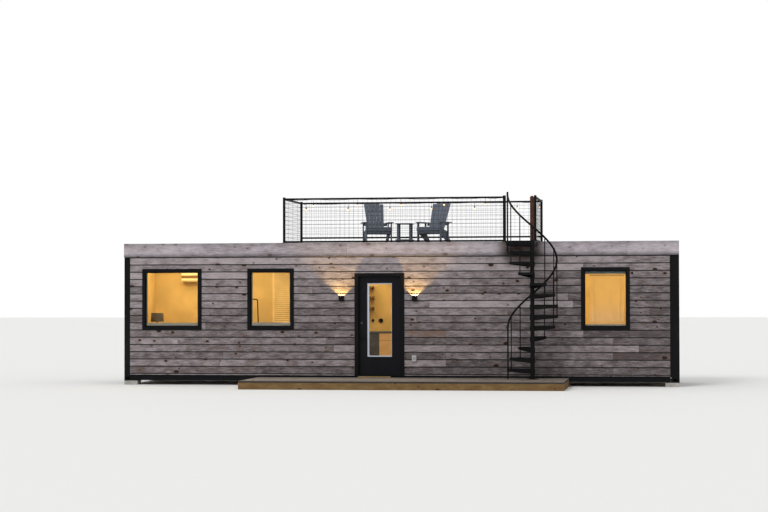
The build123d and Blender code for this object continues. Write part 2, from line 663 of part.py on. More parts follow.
def handle_side(face, outward):
    """The deadbolt rose, the plate and the lever on one face of the leaf."""
    lock_x = leaf_x[0] + BACKSET
    plane = Plane((lock_x, face, BASE), x_dir=(1, 0, 0), z_dir=(0, outward, 0))
    upward = -outward
    with BuildSketch(plane) as rose:
        with Locations((0, upward * BOLT_UP)):
            Circle(BOLT_RADIUS)
    extrude(rose.sketch, amount=BOLT_REACH)
    with BuildSketch(plane) as back_plate:
        with Locations((0, upward * HANDLE_UP)):
            SlotOverall(HANDLE_PLATE_HEIGHT, HANDLE_PLATE_WIDTH, rotation=90)
    extrude(back_plate.sketch, amount=HANDLE_PLATE_THICKNESS)
    with BuildSketch(plane) as neck:
        with Locations((0, upward * HANDLE_UP)):
            Circle(LEVER_SIZE / 2)
    extrude(neck.sketch, amount=HANDLE_REACH)
    with BuildSketch(plane.offset(HANDLE_REACH - LEVER_SIZE)) as lever:
        with Locations(((LEVER_LENGTH - LEVER_SIZE) / 2, upward * HANDLE_UP)):
            SlotOverall(LEVER_LENGTH, LEVER_SIZE)
    extrude(lever.sketch, amount=LEVER_SIZE)


with BuildPart() as door_hardware:
    handle_side(LEAF_FRONT, -1)
    handle_side(LEAF_BACK, 1)
    plate_x = (leaf_x[1], leaf_x[1] + PLATE_THICKNESS)
    plate_y = (PLATE_FRONT, HINGE_Y)
    middle_height = KNUCKLE_HEIGHT - 2 * KNUCKLE_GAP
    for up in HINGE_UP:
        low = LEAF_BOTTOM + up
        mid = low + KNUCKLE_HEIGHT + KNUCKLE_GAP
        slab(plate_x, plate_y, (low, low + HINGE_HEIGHT))
        knuckle(low, HINGE_HEIGHT, KNUCKLE_RADIUS + KNUCKLE_GAP, mode=Mode.SUBTRACT)
        knuckle(mid, middle_height, KNUCKLE_RADIUS)
        slab(plate_x, plate_y, (mid, mid + middle_height))
        knuckle(low, HINGE_HEIGHT, PIN_RADIUS + SEAT_GAP, mode=Mode.SUBTRACT)

# Up-lights: open-topped cups that taper to the foot
with BuildPart() as sconces:
    for x in (SCONCE_LEFT_X, SCONCE_RIGHT_X):
        with BuildSketch(Plane.YZ.offset(x - SCONCE_WIDTH / 2)) as side_view:
            with BuildLine():
                Polyline(
                    (CLADDING_FACE, BASE + SCONCE_UP),
                    (CLADDING_FACE - SCONCE_FOOT_REACH, BASE + SCONCE_UP),
                    (CLADDING_FACE - SCONCE_TOP_REACH, BASE + SCONCE_UP + SCONCE_HEIGHT),
                    (CLADDING_FACE, BASE + SCONCE_UP + SCONCE_HEIGHT),
                    close=True,
                )
            make_face()
        extrude(side_view.sketch, amount=SCONCE_WIDTH)
        slab(
            (x - SCONCE_WIDTH / 2 + SCONCE_WALL, x + SCONCE_WIDTH / 2 - SCONCE_WALL),
            (CLADDING_FACE - SCONCE_FOOT_REACH + SCONCE_WALL, CLADDING_FACE - SCONCE_WALL),
            (BASE + SCONCE_UP + SCONCE_CUP_UP, BASE + SCONCE_UP + SCONCE_HEIGHT),
            mode=Mode.SUBTRACT,
        )

with BuildPart() as outlet_cover:
    outlet_x = (OUTLET_X - OUTLET_WIDTH / 2, OUTLET_X + OUTLET_WIDTH / 2)
    outlet_z = (BASE + OUTLET_UP, BASE + OUTLET_UP + OUTLET_HEIGHT)
    slab(outlet_x, (CLADDING_FACE - OUTLET_REACH, CLADDING_FACE), outlet_z)
    slab(
        (outlet_x[0] + OUTLET_LID, outlet_x[1] - OUTLET_LID),
        (CLADDING_FACE - OUTLET_REACH - OUTLET_LID, CLADDING_FACE),
        (outlet_z[0] + OUTLET_LID, outlet_z[1] - OUTLET_LID),
    )

# Roof deck on joists laid across the container
with BuildPart() as roof_joists:
    joist_span = LENGTH - 2 * FASCIA_THICKNESS - 2 * JOIST_WIDTH
    joist_pitch = joist_span / (JOIST_COUNT - 1)
    for index in range(JOIST_COUNT):
        middle = -joist_span / 2 + index * joist_pitch
        x = (middle - JOIST_WIDTH / 2, middle + JOIST_WIDTH / 2)
        slab(x, (FRONT, BACK), (ROOF, ROOF + JOIST_HEIGHT))

with BuildPart() as roof_deck:
    deck_end = END - FASCIA_THICKNESS
    slab((-deck_end, deck_end), (FRONT, BACK), (DECK - DECK_THICKNESS, DECK))

# Terrace railings: posts, two bars and the mesh's level wires
RAIL_TOP = DECK + RAILING_HEIGHT
FRONT_RAILING_Y = FRONT + RAILING_INSET
BACK_RAILING_Y = BACK - RAILING_INSET


def post(x, y, size):
    """A square post with a foot plate, its top a little above the rail."""
    slab((x - size / 2, x + size / 2), (y - size / 2, y + size / 2), (DECK, RAIL_TOP + POST_CAP))
    foot_x = (x - POST_FOOT / 2, x + POST_FOOT / 2)
    foot_y = (y - POST_FOOT / 2, y + POST_FOOT / 2)
    slab(foot_x, foot_y, (DECK, DECK + POST_FOOT_THICKNESS))


def panel(x, y, bar_up):
    """Rails and level wires over a rectangle that is thin in X or in Y."""
    along_x = x[1] - x[0] > y[1] - y[0]
    bar = DECK + bar_up
    slab(x, y, (RAIL_TOP - RAIL_TUBE, RAIL_TOP))
    slab(x, y, (bar, bar + RAIL_TUBE))
    pitch = (RAIL_TOP - bar - RAIL_TUBE) / (WIRE_COUNT + 1)
    mid_x = (x[0] + x[1]) / 2
    mid_y = (y[0] + y[1]) / 2
    wire_x = x if along_x else (mid_x - WIRE / 2, mid_x + WIRE / 2)
    wire_y = (mid_y - WIRE / 2, mid_y + WIRE / 2) if along_x else y
    for index in range(1, WIRE_COUNT + 1):
        z = bar + RAIL_TUBE / 2 + index * pitch
        slab(wire_x, wire_y, (z - WIRE / 2, z + WIRE / 2))


def across(middle):
    """Limits of a rail tube centred on a plane."""
    return (middle - RAIL_TUBE / 2, middle + RAIL_TUBE / 2)


with BuildPart() as railing_front:
    post(TERRACE_LEFT_X, FRONT_RAILING_Y, RAIL_POST)
    post(GATE_POST_X, FRONT_RAILING_Y, GATE_POST)
    panel((TERRACE_LEFT_X, GATE_POST_X), across(FRONT_RAILING_Y), FRONT_BAR_UP)

with BuildPart() as railing_back:
    post(TERRACE_LEFT_X, BACK_RAILING_Y, RAIL_POST)
    post(TERRACE_RIGHT_X, BACK_RAILING_Y, RAIL_POST)
    panel((TERRACE_LEFT_X, TERRACE_RIGHT_X), across(BACK_RAILING_Y), BACK_BAR_UP)

side_y = (FRONT_RAILING_Y + RAIL_POST / 2, BACK_RAILING_Y - RAIL_POST / 2)
with BuildPart() as railing_left:
    panel(across(TERRACE_LEFT_X), side_y, FRONT_BAR_UP + POST_FOOT_THICKNESS)

with BuildPart() as railing_right:
    post(TERRACE_RIGHT_X, FRONT_RAILING_Y, RAIL_POST)
    panel(across(TERRACE_RIGHT_X), side_y, FRONT_BAR_UP + POST_FOOT_THICKNESS)


# String lights: a cord along each rail's inner face, with sockets and bulbs hanging from it
CORD_Z = (RAIL_TOP - RAIL_TUBE, RAIL_TOP - RAIL_TUBE + CORD)
CORD_OFFSET = RAIL_TUBE / 2 + SEAT_GAP + CORD / 2


def bulb(x, y):
    """A lead, a socket and a round bulb below the cord, as one turned shape."""
    plane = Plane((x, y, CORD_Z[1] - BULB_DROP), x_dir=(1, 0, 0), z_dir=(0, -1, 0))
    neck = math.sqrt(BULB_RADIUS**2 - SOCKET_RADIUS**2)
    cord_middle = BULB_DROP - CORD / 2
    socket_top = neck + SOCKET_LENGTH
    with BuildSketch(plane) as profile:
        with BuildLine():
            Polyline((0, cord_middle), (LEAD_RADIUS, cord_middle), (LEAD_RADIUS, socket_top))
            Polyline((LEAD_RADIUS, socket_top), (SOCKET_RADIUS, socket_top), (SOCKET_RADIUS, neck))
            ThreePointArc((SOCKET_RADIUS, neck), (BULB_RADIUS, 0), (0, -BULB_RADIUS))
            Line((0, -BULB_RADIUS), (0, cord_middle))
        make_face()
    revolve(profile.sketch, axis=Axis((x, y, 0), (0, 0, 1)))


with BuildPart() as string_lights:
    cord_start = TERRACE_LEFT_X + RAIL_POST
    front_cord = FRONT_RAILING_Y + CORD_OFFSET
    back_cord = BACK_RAILING_Y - CORD_OFFSET
    side_cord = TERRACE_RIGHT_X - CORD_OFFSET
    for y, end in ((front_cord, GATE_POST_X - GATE_POST), (back_cord, TERRACE_RIGHT_X - RAIL_POST)):
        slab((cord_start, end), (y - CORD / 2, y + CORD / 2), CORD_Z)
    cord_x = (side_cord - CORD / 2, side_cord + CORD / 2)
    slab(cord_x, (side_y[0] + RAIL_POST, side_y[1] - RAIL_POST), CORD_Z)
    for x in FRONT_BULBS_X:
        bulb(x, front_cord)
    for x in BACK_BULBS_X:
        bulb(x, back_cord)
    bulb(side_cord, FRONT + SIDE_BULB_DEPTH)

# Porch: a joisted frame on the ground with boards on top
with BuildPart() as porch_frame:
    porch_x = (PORCH_LEFT_X, PORCH_RIGHT_X)
    porch_front = FRONT - PORCH_DEPTH
    slab(porch_x, (porch_front, porch_front + PORCH_LUMBER), (0, PORCH_RIM))
    slab(porch_x, (FRONT - PORCH_LUMBER, FRONT), (0, PORCH_RIM))
    porch_span = PORCH_RIGHT_X - PORCH_LEFT_X - PORCH_LUMBER
    for index in range(PORCH_JOIST_COUNT):
        x = PORCH_LEFT_X + index * porch_span / (PORCH_JOIST_COUNT - 1)
        slab((x, x + PORCH_LUMBER), (porch_front, FRONT), (0, PORCH_RIM))

with BuildPart() as porch_boards:
    slab(porch_x, (porch_front, FRONT), (PORCH_RIM, PORCH))

# Spiral stair, climbing clockwise from the left round the back
BORE = POLE_RADIUS + SEAT_GAP
HUB_RADIUS = BORE + HUB_WALL
MIN_Z = (Align.CENTER, Align.CENTER, Align.MIN)
MAX_Z = (Align.CENTER, Align.CENTER, Align.MAX)

with BuildPart() as stair_pole:
    pole_height = BASE + POLE_UP - PORCH
    with Locations((POLE_X, POLE_Y, PORCH)):
        Cylinder(POLE_BASE_RADIUS, POLE_BASE_THICKNESS, align=MIN_Z)
        Cylinder(POLE_RADIUS, pole_height, align=MIN_Z)
    with Locations((POLE_X, POLE_Y, PORCH + pole_height)):
        Sphere(POLE_RADIUS)


def on_circle(angle, radius):
    """Plan point on a circle round the pole."""
    turn = math.radians(angle)
    return (POLE_X + radius * math.cos(turn), POLE_Y + radius * math.sin(turn))


def hole(point, top, depth, radius):
    """Clear a baluster's hole down from a level."""
    with Locations((point[0], point[1], top)):
        Cylinder(radius + SEAT_GAP, depth, align=MAX_Z, mode=Mode.SUBTRACT)


def tread(index):
    """Add one tread: a tapered pan folded down round its edges, welded to a hub."""
    top = PORCH + index * RISER
    middle = FIRST_ANGLE - (index - 0.5) * STEP_ANGLE
    turn = math.radians(middle)
    spread = math.radians(STEP_ANGLE / 2 + TREAD_OVERLAP)
    local = Plane((POLE_X, POLE_Y, top), x_dir=(math.cos(turn), math.sin(turn), 0), z_dir=(0, 0, 1))
    tip_x = TREAD_RADIUS * math.cos(spread)
    tip_y = TREAD_RADIUS * math.sin(spread)
    with BuildSketch(local) as plan:
        with BuildLine():
            Line((BORE, -HUB_HALF_WIDTH), (tip_x, -tip_y))
            ThreePointArc((tip_x, -tip_y), (TREAD_RADIUS, 0), (tip_x, tip_y))
            Polyline((tip_x, tip_y), (BORE, HUB_HALF_WIDTH), (BORE, -HUB_HALF_WIDTH))
        make_face()
    extrude(plan.sketch, amount=-GUSSET_INNER)
    with BuildSketch(local.offset(-TREAD_PLATE)) as pan:
        with BuildLine():
            Line((BORE, -HUB_HALF_WIDTH), (tip_x, -tip_y))
            ThreePointArc((tip_x, -tip_y), (TREAD_RADIUS, 0), (tip_x, tip_y))
            Polyline((tip_x, tip_y), (BORE, HUB_HALF_WIDTH), (BORE, -HUB_HALF_WIDTH))
        make_face()
        offset(amount=-GUSSET_WALL, mode=Mode.REPLACE)
    extrude(pan.sketch, amount=-GUSSET_INNER, mode=Mode.SUBTRACT)
    side = Plane((POLE_X, POLE_Y, top), x_dir=local.x_dir, z_dir=local.y_dir)
    with BuildSketch(side) as taper:
        with BuildLine():
            Polyline(
                (HUB_RADIUS, GUSSET_INNER),
                (TREAD_RADIUS, GUSSET_OUTER),
                (TREAD_RADIUS + GUSSET_OUTER, GUSSET_OUTER),
                (TREAD_RADIUS + GUSSET_OUTER, GUSSET_INNER),
                close=True,
            )
        make_face()
    extrude(taper.sketch, amount=TREAD_RADIUS, both=True, mode=Mode.SUBTRACT)
    with Locations((POLE_X, POLE_Y, top)):
        Cylinder(HUB_RADIUS, GUSSET_INNER, align=MAX_Z)
        Cylinder(BORE, GUSSET_INNER, align=MAX_Z, mode=Mode.SUBTRACT)
    lower = on_circle(middle + STEP_ANGLE / 2, BALUSTER_CIRCLE)
    upper = on_circle(middle - STEP_ANGLE / 2, BALUSTER_CIRCLE)
    hole(lower, top, GUSSET_INNER, NEWEL_RADIUS if index == 1 else BALUSTER_RADIUS)
    hole(upper, top, GUSSET_INNER, NEWEL_RADIUS if index == TREAD_COUNT else BALUSTER_RADIUS)


with BuildPart() as stair_treads:
    for index in range(1, TREAD_COUNT + 1):
        tread(index)

# Landing: a rimmed plate in the quarter between the pole and the roof
with BuildPart() as stair_landing:
    landing_x = (POLE_X - LANDING_REACH, POLE_X + HUB_RADIUS)
    landing_y = (POLE_Y - LANDING_FRONT, FRONT - FASCIA_THICKNESS)
    wall = LANDING_RIM_WALL
    slab(landing_x, landing_y, (DECK - LANDING_RIM, DECK))
    slab(
        (landing_x[0] + wall, landing_x[1] - wall),
        (landing_y[0] + wall, landing_y[1] - wall),
        (DECK - LANDING_RIM, DECK - TREAD_PLATE),
        mode=Mode.SUBTRACT,
    )
    with Locations((POLE_X, POLE_Y, DECK)):
        Cylinder(HUB_RADIUS, LANDING_RIM, align=MAX_Z)
        Cylinder(BORE, LANDING_RIM, align=MAX_Z, mode=Mode.SUBTRACT)
    hole(on_circle(FIRST_ANGLE, BALUSTER_CIRCLE), DECK, LANDING_RIM, NEWEL_RADIUS)

# Handrail: one turn of pipe on a helix, running a little past both newels
HANDRAIL_START = BASE + HANDRAIL_START_UP
OVERRUN_DROP = HANDRAIL_RISE * HANDRAIL_OVERRUN / 360
with BuildPart() as pipe_turn:
    with BuildLine() as climb:
        Helix(HANDRAIL_RISE, HANDRAIL_RISE + 2 * OVERRUN_DROP, BALUSTER_CIRCLE, lefthand=True)
    with BuildSketch(Plane(climb.line @ 0, z_dir=climb.line % 0)) as pipe:
        Circle(HANDRAIL_RADIUS)
    sweep(pipe.sketch, path=climb.line, is_frenet=True)

with BuildPart() as stair_handrail:
    low_end = (POLE_X, POLE_Y, HANDRAIL_START - OVERRUN_DROP)
    with Locations(Location(low_end, (0, 0, FIRST_ANGLE + HANDRAIL_OVERRUN))):
        add(pipe_turn.part)

# Balusters: each stands in the lower tread, passes the upper one and meets the handrail
with BuildPart() as stair_balusters:
    for index in range(TREAD_COUNT + 1):
        is_newel = index in (0, TREAD_COUNT)
        radius = NEWEL_RADIUS if is_newel else BALUSTER_RADIUS
        point = on_circle(FIRST_ANGLE - index * STEP_ANGLE, BALUSTER_CIRCLE)
        foot = PORCH if index == 0 else PORCH + index * RISER - GUSSET_OUTER
        middle = HANDRAIL_START + HANDRAIL_RISE * index / TREAD_COUNT
        with Locations((point[0], point[1], foot)):
            Cylinder(radius, middle - foot, align=MIN_Z)
    add(stair_handrail.part, mode=Mode.SUBTRACT)


# Slatted garden chair facing -Y, standing on Z = 0
with BuildPart() as chair:
    half = CHAIR_WIDTH / 2
    chair_front = -CHAIR_DEPTH / 2
    chair_back = CHAIR_DEPTH / 2
    hip_y = chair_front + CHAIR_SEAT_RUN
    hip_z = CHAIR_SEAT_UP - CHAIR_SEAT_FALL
    leg_y = (chair_front, chair_front + CHAIR_RAIL)
    arm_y = (chair_front - CHAIR_BOARD, chair_back)
    arm_z = (CHAIR_ARM_UP, CHAIR_ARM_UP + CHAIR_BOARD)
    for side in (-1, 1):
        x = side * (half - CHAIR_BOARD / 2)
        slab((x - CHAIR_BOARD / 2, x + CHAIR_BOARD / 2), leg_y, (0, CHAIR_ARM_UP))
        slab((x - CHAIR_ARM_WIDTH / 2, x + CHAIR_ARM_WIDTH / 2), arm_y, arm_z)
        stringer_x = x - side * CHAIR_BOARD - CHAIR_BOARD / 2
        with BuildSketch(Plane.YZ.offset(stringer_x)) as stringer:
            with BuildLine():
                Polyline(
                    (chair_front, CHAIR_SEAT_UP),
                    (chair_front, CHAIR_SEAT_UP - CHAIR_STRINGER),
                    (chair_back - CHAIR_RAIL, 0),
                    (chair_back + CHAIR_RAIL, 0),
                    (hip_y, hip_z),
                    close=True,
                )
            make_face()
        extrude(stringer.sketch, amount=CHAIR_BOARD)
        post_y = (hip_y, hip_y + CHAIR_REAR_POST)
        slab((x - CHAIR_BOARD / 2, x + CHAIR_BOARD / 2), post_y, (CHAIR_REAR_POST_UP, CHAIR_ARM_UP))
    apron_y = (chair_front - CHAIR_BOARD, chair_front)
    apron_foot = CHAIR_SEAT_UP - CHAIR_RAIL
    slab((-half, half), apron_y, (apron_foot, CHAIR_SEAT_UP))

    between_legs = CHAIR_WIDTH - 2 * CHAIR_BOARD
    low_apron_top = apron_foot - CHAIR_SLAT_GAP
    low_apron_x = (-between_legs / 2, between_legs / 2)
    low_apron_y = (chair_front, chair_front + CHAIR_BOARD)
    slab(low_apron_x, low_apron_y, (low_apron_top - CHAIR_LOW_APRON, low_apron_top))
    seat_tilt = math.degrees(math.atan2(CHAIR_SEAT_FALL, CHAIR_SEAT_RUN))
    seat_pitch = math.hypot(CHAIR_SEAT_FALL, CHAIR_SEAT_RUN) / CHAIR_SEAT_SLATS
    level = Plane((0, chair_front, CHAIR_SEAT_UP), x_dir=(1, 0, 0), z_dir=(0, 0, 1))
    with BuildSketch(level.rotated((-seat_tilt, 0, 0))) as seat_slats:
        for index in range(CHAIR_SEAT_SLATS):
            with Locations((0, (index + 0.5) * seat_pitch)):
                Rectangle(between_legs, seat_pitch - CHAIR_SLAT_GAP)
    extrude(seat_slats.sketch, amount=CHAIR_BOARD)

    lean = math.radians(CHAIR_BACK_LEAN)
    back_rise = (CHAIR_HEIGHT - hip_z) / math.cos(lean)
    forward = (0, -math.cos(lean), math.sin(lean))
    back_plane = Plane((0, hip_y, hip_z), x_dir=(1, 0, 0), z_dir=forward)
    slat_foot = -CHAIR_RAIL / 2
    outermost = (CHAIR_BACK_SLATS - 1) / 2
    half_gap = CHAIR_SLAT_GAP / 2
    with BuildSketch(back_plane) as back_slats:
        for index in range(CHAIR_BACK_SLATS):
            place = index - outermost
            slat_top = back_rise - CHAIR_BACK_CROWN * (place / outermost) ** 2
            foot_pitch = CHAIR_BACK_FOOT_WIDTH / CHAIR_BACK_SLATS
            top_pitch = CHAIR_BACK_WIDTH / CHAIR_BACK_SLATS
            with BuildLine():
                Polyline(
                    ((place - 0.5) * foot_pitch + half_gap, slat_foot),
                    ((place + 0.5) * foot_pitch - half_gap, slat_foot),
                    ((place + 0.5) * top_pitch - half_gap, slat_top),
                    ((place - 0.5) * top_pitch + half_gap, slat_top),
                    close=True,
                )
            make_face()
    extrude(back_slats.sketch, amount=CHAIR_BOARD)
    arm_rail_up = CHAIR_ARM_UP - hip_z
    with BuildSketch(back_plane) as back_rails:
        for up in (0, arm_rail_up):
            with Locations((0, up)):
                Rectangle(between_legs, CHAIR_RAIL)
        with Locations((0, CHAIR_TOP_RAIL_UP)):
            Rectangle(CHAIR_BACK_FOOT_WIDTH, CHAIR_RAIL)
    extrude(back_rails.sketch, amount=-CHAIR_BOARD)


def chair_place(place):
    """Where a chair stands on the deck: its plan point and its turn."""
    x, depth, turn = place
    return Location((x, FRONT + depth, DECK), (0, 0, turn))


with BuildPart() as chair_left:
    with Locations(chair_place(CHAIR_LEFT_PLACE)):
        add(chair.part)

with BuildPart() as chair_right:
    with Locations(chair_place(CHAIR_RIGHT_PLACE)):
        add(chair.part)

with BuildPart() as side_table:
    table_half = TABLE_WIDTH / 2
    table_y = FRONT + TABLE_DEPTH
    table_x = (TABLE_X - table_half, TABLE_X + table_half)
    table_span = (table_y - table_half, table_y + table_half)
    table_top = DECK + TABLE_HEIGHT
    stretcher_z = (DECK + TABLE_STRETCHER_UP, DECK + TABLE_STRETCHER_UP + TABLE_LEG)
    slab(table_x, table_span, (table_top - TABLE_BOARD, table_top))
    leg_x = (table_x[0] + TABLE_LEG_INSET, table_x[1] - TABLE_LEG_INSET)
    leg_y = (table_span[0] + TABLE_LEG_INSET, table_span[1] - TABLE_LEG_INSET)
    for x in (leg_x[0], leg_x[1] - TABLE_LEG):
        for y in (leg_y[0], leg_y[1] - TABLE_LEG):
            slab((x, x + TABLE_LEG), (y, y + TABLE_LEG), (DECK, table_top))
    for x in (leg_x[0], leg_x[1] - TABLE_BOARD):
        slab((x, x + TABLE_BOARD), leg_y, stretcher_z)
    for y in (leg_y[0] - TABLE_BOARD, leg_y[1]):
        slab(table_x, (y, y + TABLE_BOARD), stretcher_z)

# Inside: counter, drawer fronts and shelves on the back wall, air unit
with BuildPart() as kitchen_counter:
    counter_x = (COUNTER_LEFT_X, COUNTER_LEFT_X + COUNTER_LENGTH)
    counter_y = (INNER_BACK - COUNTER_DEPTH, INNER_BACK)
    counter_top = FLOOR + COUNTER_HEIGHT
    slab(counter_x, counter_y, (FLOOR, counter_top - COUNTER_TOP))
    toe_y = (counter_y[0], counter_y[0] + TOE_DEPTH)
    slab(counter_x, toe_y, (FLOOR, FLOOR + TOE_HEIGHT), mode=Mode.SUBTRACT)
    top_y = (counter_y[0] - COUNTER_OVERHANG, INNER_BACK)
    slab(counter_x, top_y, (counter_top - COUNTER_TOP, counter_top))

with BuildPart() as drawer_fronts:
    drawers_x = (counter_x[0] + DRAWERS_FROM_LEFT, counter_x[1])
    drawers_y = (counter_y[0] - DRAWER_FRONT, counter_y[0])
    slab(drawers_x, drawers_y, (FLOOR + TOE_HEIGHT, counter_top - COUNTER_TOP))

with BuildPart() as wall_shelves:
    for up in SHELF_UPS:
        shelf_x = (SHELF_LEFT_X, SHELF_LEFT_X + SHELF_LENGTH)
        shelf_y = (INNER_BACK - SHELF_DEPTH, INNER_BACK)
        slab(shelf_x, shelf_y, (BASE + up, BASE + up + SHELF_THICKNESS))
        for x in (shelf_x[0], shelf_x[1] - BRACKET_WIDTH):
            with BuildSketch(Plane.YZ.offset(x)) as bracket:
                with BuildLine():
                    Polyline(
                        (INNER_BACK, BASE + up),
                        (shelf_y[0] + BRACKET_WIDTH, BASE + up),
                        (INNER_BACK, BASE + up - BRACKET_DROP),
                        close=True,
                    )
                make_face()
            extrude(bracket.sketch, amount=BRACKET_WIDTH)

with BuildPart() as wall_air_unit:
    unit_x = (-END + AIR_UNIT_INSET, -END + AIR_UNIT_INSET + AIR_UNIT_WIDTH)
    unit_z = (BASE + AIR_UNIT_UP, BASE + AIR_UNIT_UP + AIR_UNIT_HEIGHT)
    slab(unit_x, (INNER_BACK - AIR_UNIT_DEPTH, INNER_BACK), unit_z)
    front_edges = wall_air_unit.edges().filter_by(Axis.X).group_by(Axis.Y)[0]
    fillet(front_edges, radius=AIR_UNIT_EDGE)

PIECES = {
    "concrete_piers": concrete_piers,
    "base_frame": base_frame,
    "floor": floor,
    "corner_posts": corner_posts,
    "corner_castings": corner_castings,
    "top_rails": top_rails,
    "back_wall": back_wall,
    "end_walls": end_walls,
    "front_wall": front_wall,
    "container_roof": container_roof,
    "cladding_left": cladding_left,
    "cladding_right": cladding_right,
    "cladding_head": cladding_head,
    "fascia_boards": fascia_boards,
    "inner_linings": inner_linings,
    "ceiling": ceiling,
    "window_frame_left": window_frame_left,
    "window_frame_middle": window_frame_middle,
    "window_frame_right": window_frame_right,
    "window_glass": window_glass,
    "window_blind": window_blind,
    "door_frame": door_frame,
    "door_sill": door_sill,
    "door_leaf": door_leaf,
    "door_glass": door_glass,
    "door_hinges": door_hinges,
    "door_hardware": door_hardware,
    "sconces": sconces,
    "outlet_cover": outlet_cover,
    "roof_joists": roof_joists,
    "roof_deck": roof_deck,
    "railing_front": railing_front,
    "railing_back": railing_back,
    "railing_left": railing_left,
    "railing_right": railing_right,
    "string_lights": string_lights,
    "porch_frame": porch_frame,
    "porch_boards": porch_boards,
    "stair_pole": stair_pole,
    "stair_treads": stair_treads,
    "stair_landing": stair_landing,
    "stair_handrail": stair_handrail,
    "stair_balusters": stair_balusters,
    "chair_left": chair_left,
    "chair_right": chair_right,
    "side_table": side_table,
    "kitchen_counter": kitchen_counter,
    "drawer_fronts": drawer_fronts,
    "wall_shelves": wall_shelves,
    "wall_air_unit": wall_air_unit,
}
for name, piece in PIECES.items():
    piece.part.label = name
    export_step(piece.part, f"parts/{name}.step")
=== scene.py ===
"""Finishes and fine detail of the shipping container cabin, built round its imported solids.

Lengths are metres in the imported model's own frame: X runs right along the boarded front, the
front faces -Y, Z is up and the ground is 0.
"""

import json
import logging
import math
from collections.abc import Iterable, Sequence
from dataclasses import dataclass, replace
from enum import Enum
from functools import cache
from typing import Any

import bpy
import numpy as np
from mathutils import Matrix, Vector
from numpy.typing import ArrayLike, NDArray


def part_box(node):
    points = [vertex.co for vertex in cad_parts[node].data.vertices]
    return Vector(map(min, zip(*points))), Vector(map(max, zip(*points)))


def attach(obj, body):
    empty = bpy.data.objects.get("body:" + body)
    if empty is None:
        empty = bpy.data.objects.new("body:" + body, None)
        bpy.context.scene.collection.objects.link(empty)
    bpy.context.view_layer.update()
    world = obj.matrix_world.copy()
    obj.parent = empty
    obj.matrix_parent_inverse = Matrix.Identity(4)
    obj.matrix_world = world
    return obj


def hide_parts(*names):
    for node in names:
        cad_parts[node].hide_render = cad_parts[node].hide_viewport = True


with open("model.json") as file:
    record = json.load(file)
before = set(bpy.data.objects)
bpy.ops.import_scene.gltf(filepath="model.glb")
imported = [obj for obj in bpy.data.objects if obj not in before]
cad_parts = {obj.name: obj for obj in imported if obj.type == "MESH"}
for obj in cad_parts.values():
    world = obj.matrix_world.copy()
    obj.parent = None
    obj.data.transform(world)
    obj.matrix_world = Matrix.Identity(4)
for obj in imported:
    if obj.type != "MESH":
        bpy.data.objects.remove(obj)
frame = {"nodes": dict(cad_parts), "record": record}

Array = NDArray[np.float64]
Faces = list[NDArray[np.int64]]
Point = Sequence[float]
Span = tuple[float, float]
Color = tuple[float, float, float]
Sockets = dict[str | int, Any]

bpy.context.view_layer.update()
CABIN = "cabin"
FRONT_DOOR = "front_door"
PLAIN_MARK = (0.5, 0.0, 0.0)
# Near-black colour of the painted shade in grooves, bevels and gaps.
GROOVE_SHADE = (0.006, 0.005, 0.005)
ORIGIN = (0.0, 0.0, 0.0)
UP = (0.0, 0.0, 1.0)
TINY = 1e-6
log = logging.getLogger("cabin")


# Surfaces


@dataclass
class Shape:
    """Points and faces of part of a piece.

    marks holds tone, warmth and grain seed for each point, and edge is each point's share of painted shade, up
    to 1 in a board's grooves, bevels and gaps.
    """

    points: Array
    faces: Faces
    marks: Array
    edge: Array

    @classmethod
    def closed(cls, points: Array, faces: Faces, mark: Color, edge: Array | None) -> "Shape":
        """A closed skin whose faces are turned outwards.

        The sum of p0 . (pi x pj) over the faces' triangles is six times the volume, and its sign
        says whether the skin is inside out.

        Args:
            points: Corners of the skin.
            faces: Groups of faces that have the same number of corners.
            mark: Tone, warmth and seed for every point.
            edge: Share of painted groove shade for each point, or None where none is painted.

        Returns:
            The skin.
        """
        total = 0.0
        for group in faces:
            corners = points[group]
            first = np.broadcast_to(corners[:, :1], corners[:, 1:-1].shape)
            total += float(np.einsum("kij,kij->", first, np.cross(corners[:, 1:-1], corners[:, 2:])))
        if total < 0:
            faces = [group[:, ::-1] for group in faces]
        marks = np.tile(np.array(mark, float), (len(points), 1))
        return cls(points, faces, marks, np.zeros(len(points)) if edge is None else edge)

    def moved(self, turn: float, place: Point) -> "Shape":
        """The same shape turned about Z and then moved.

        Args:
            turn: The turn in radians.
            place: The move.

        Returns:
            The moved shape.
        """
        cos, sin = math.cos(turn), math.sin(turn)
        spin = np.array([[cos, sin, 0.0], [-sin, cos, 0.0], [0.0, 0.0, 1.0]])
        return replace(self, points=self.points @ spin + np.array(place))

    def facing_front(self, centre: Point) -> "Shape":
        """The same shape with its Z axis laid over to face -Y, and then moved to a centre."""
        x, y, z = self.points.T
        return replace(self, points=np.column_stack([x, -z, y]) + np.array(centre, float))


def joined(shapes: Iterable[Shape]) -> Shape:
    """Put several shapes into one.

    Args:
        shapes: The shapes.

    Returns:
        One shape that holds them all.
    """
    parts = list(shapes)
    starts = np.cumsum([0] + [len(part.points) for part in parts])
    faces = [group + start for part, start in zip(parts, starts) for group in part.faces]
    columns = zip(*((part.points, part.marks, part.edge) for part in parts))
    points, marks, edge = (np.concatenate(column) for column in columns)
    return Shape(points, faces, marks, edge)


def spots(x: ArrayLike, y: ArrayLike, z: ArrayLike) -> Array:
    """Places as rows of X, Y and Z, of which some may be the same in every row."""
    return np.column_stack(np.broadcast_arrays(x, y, z))


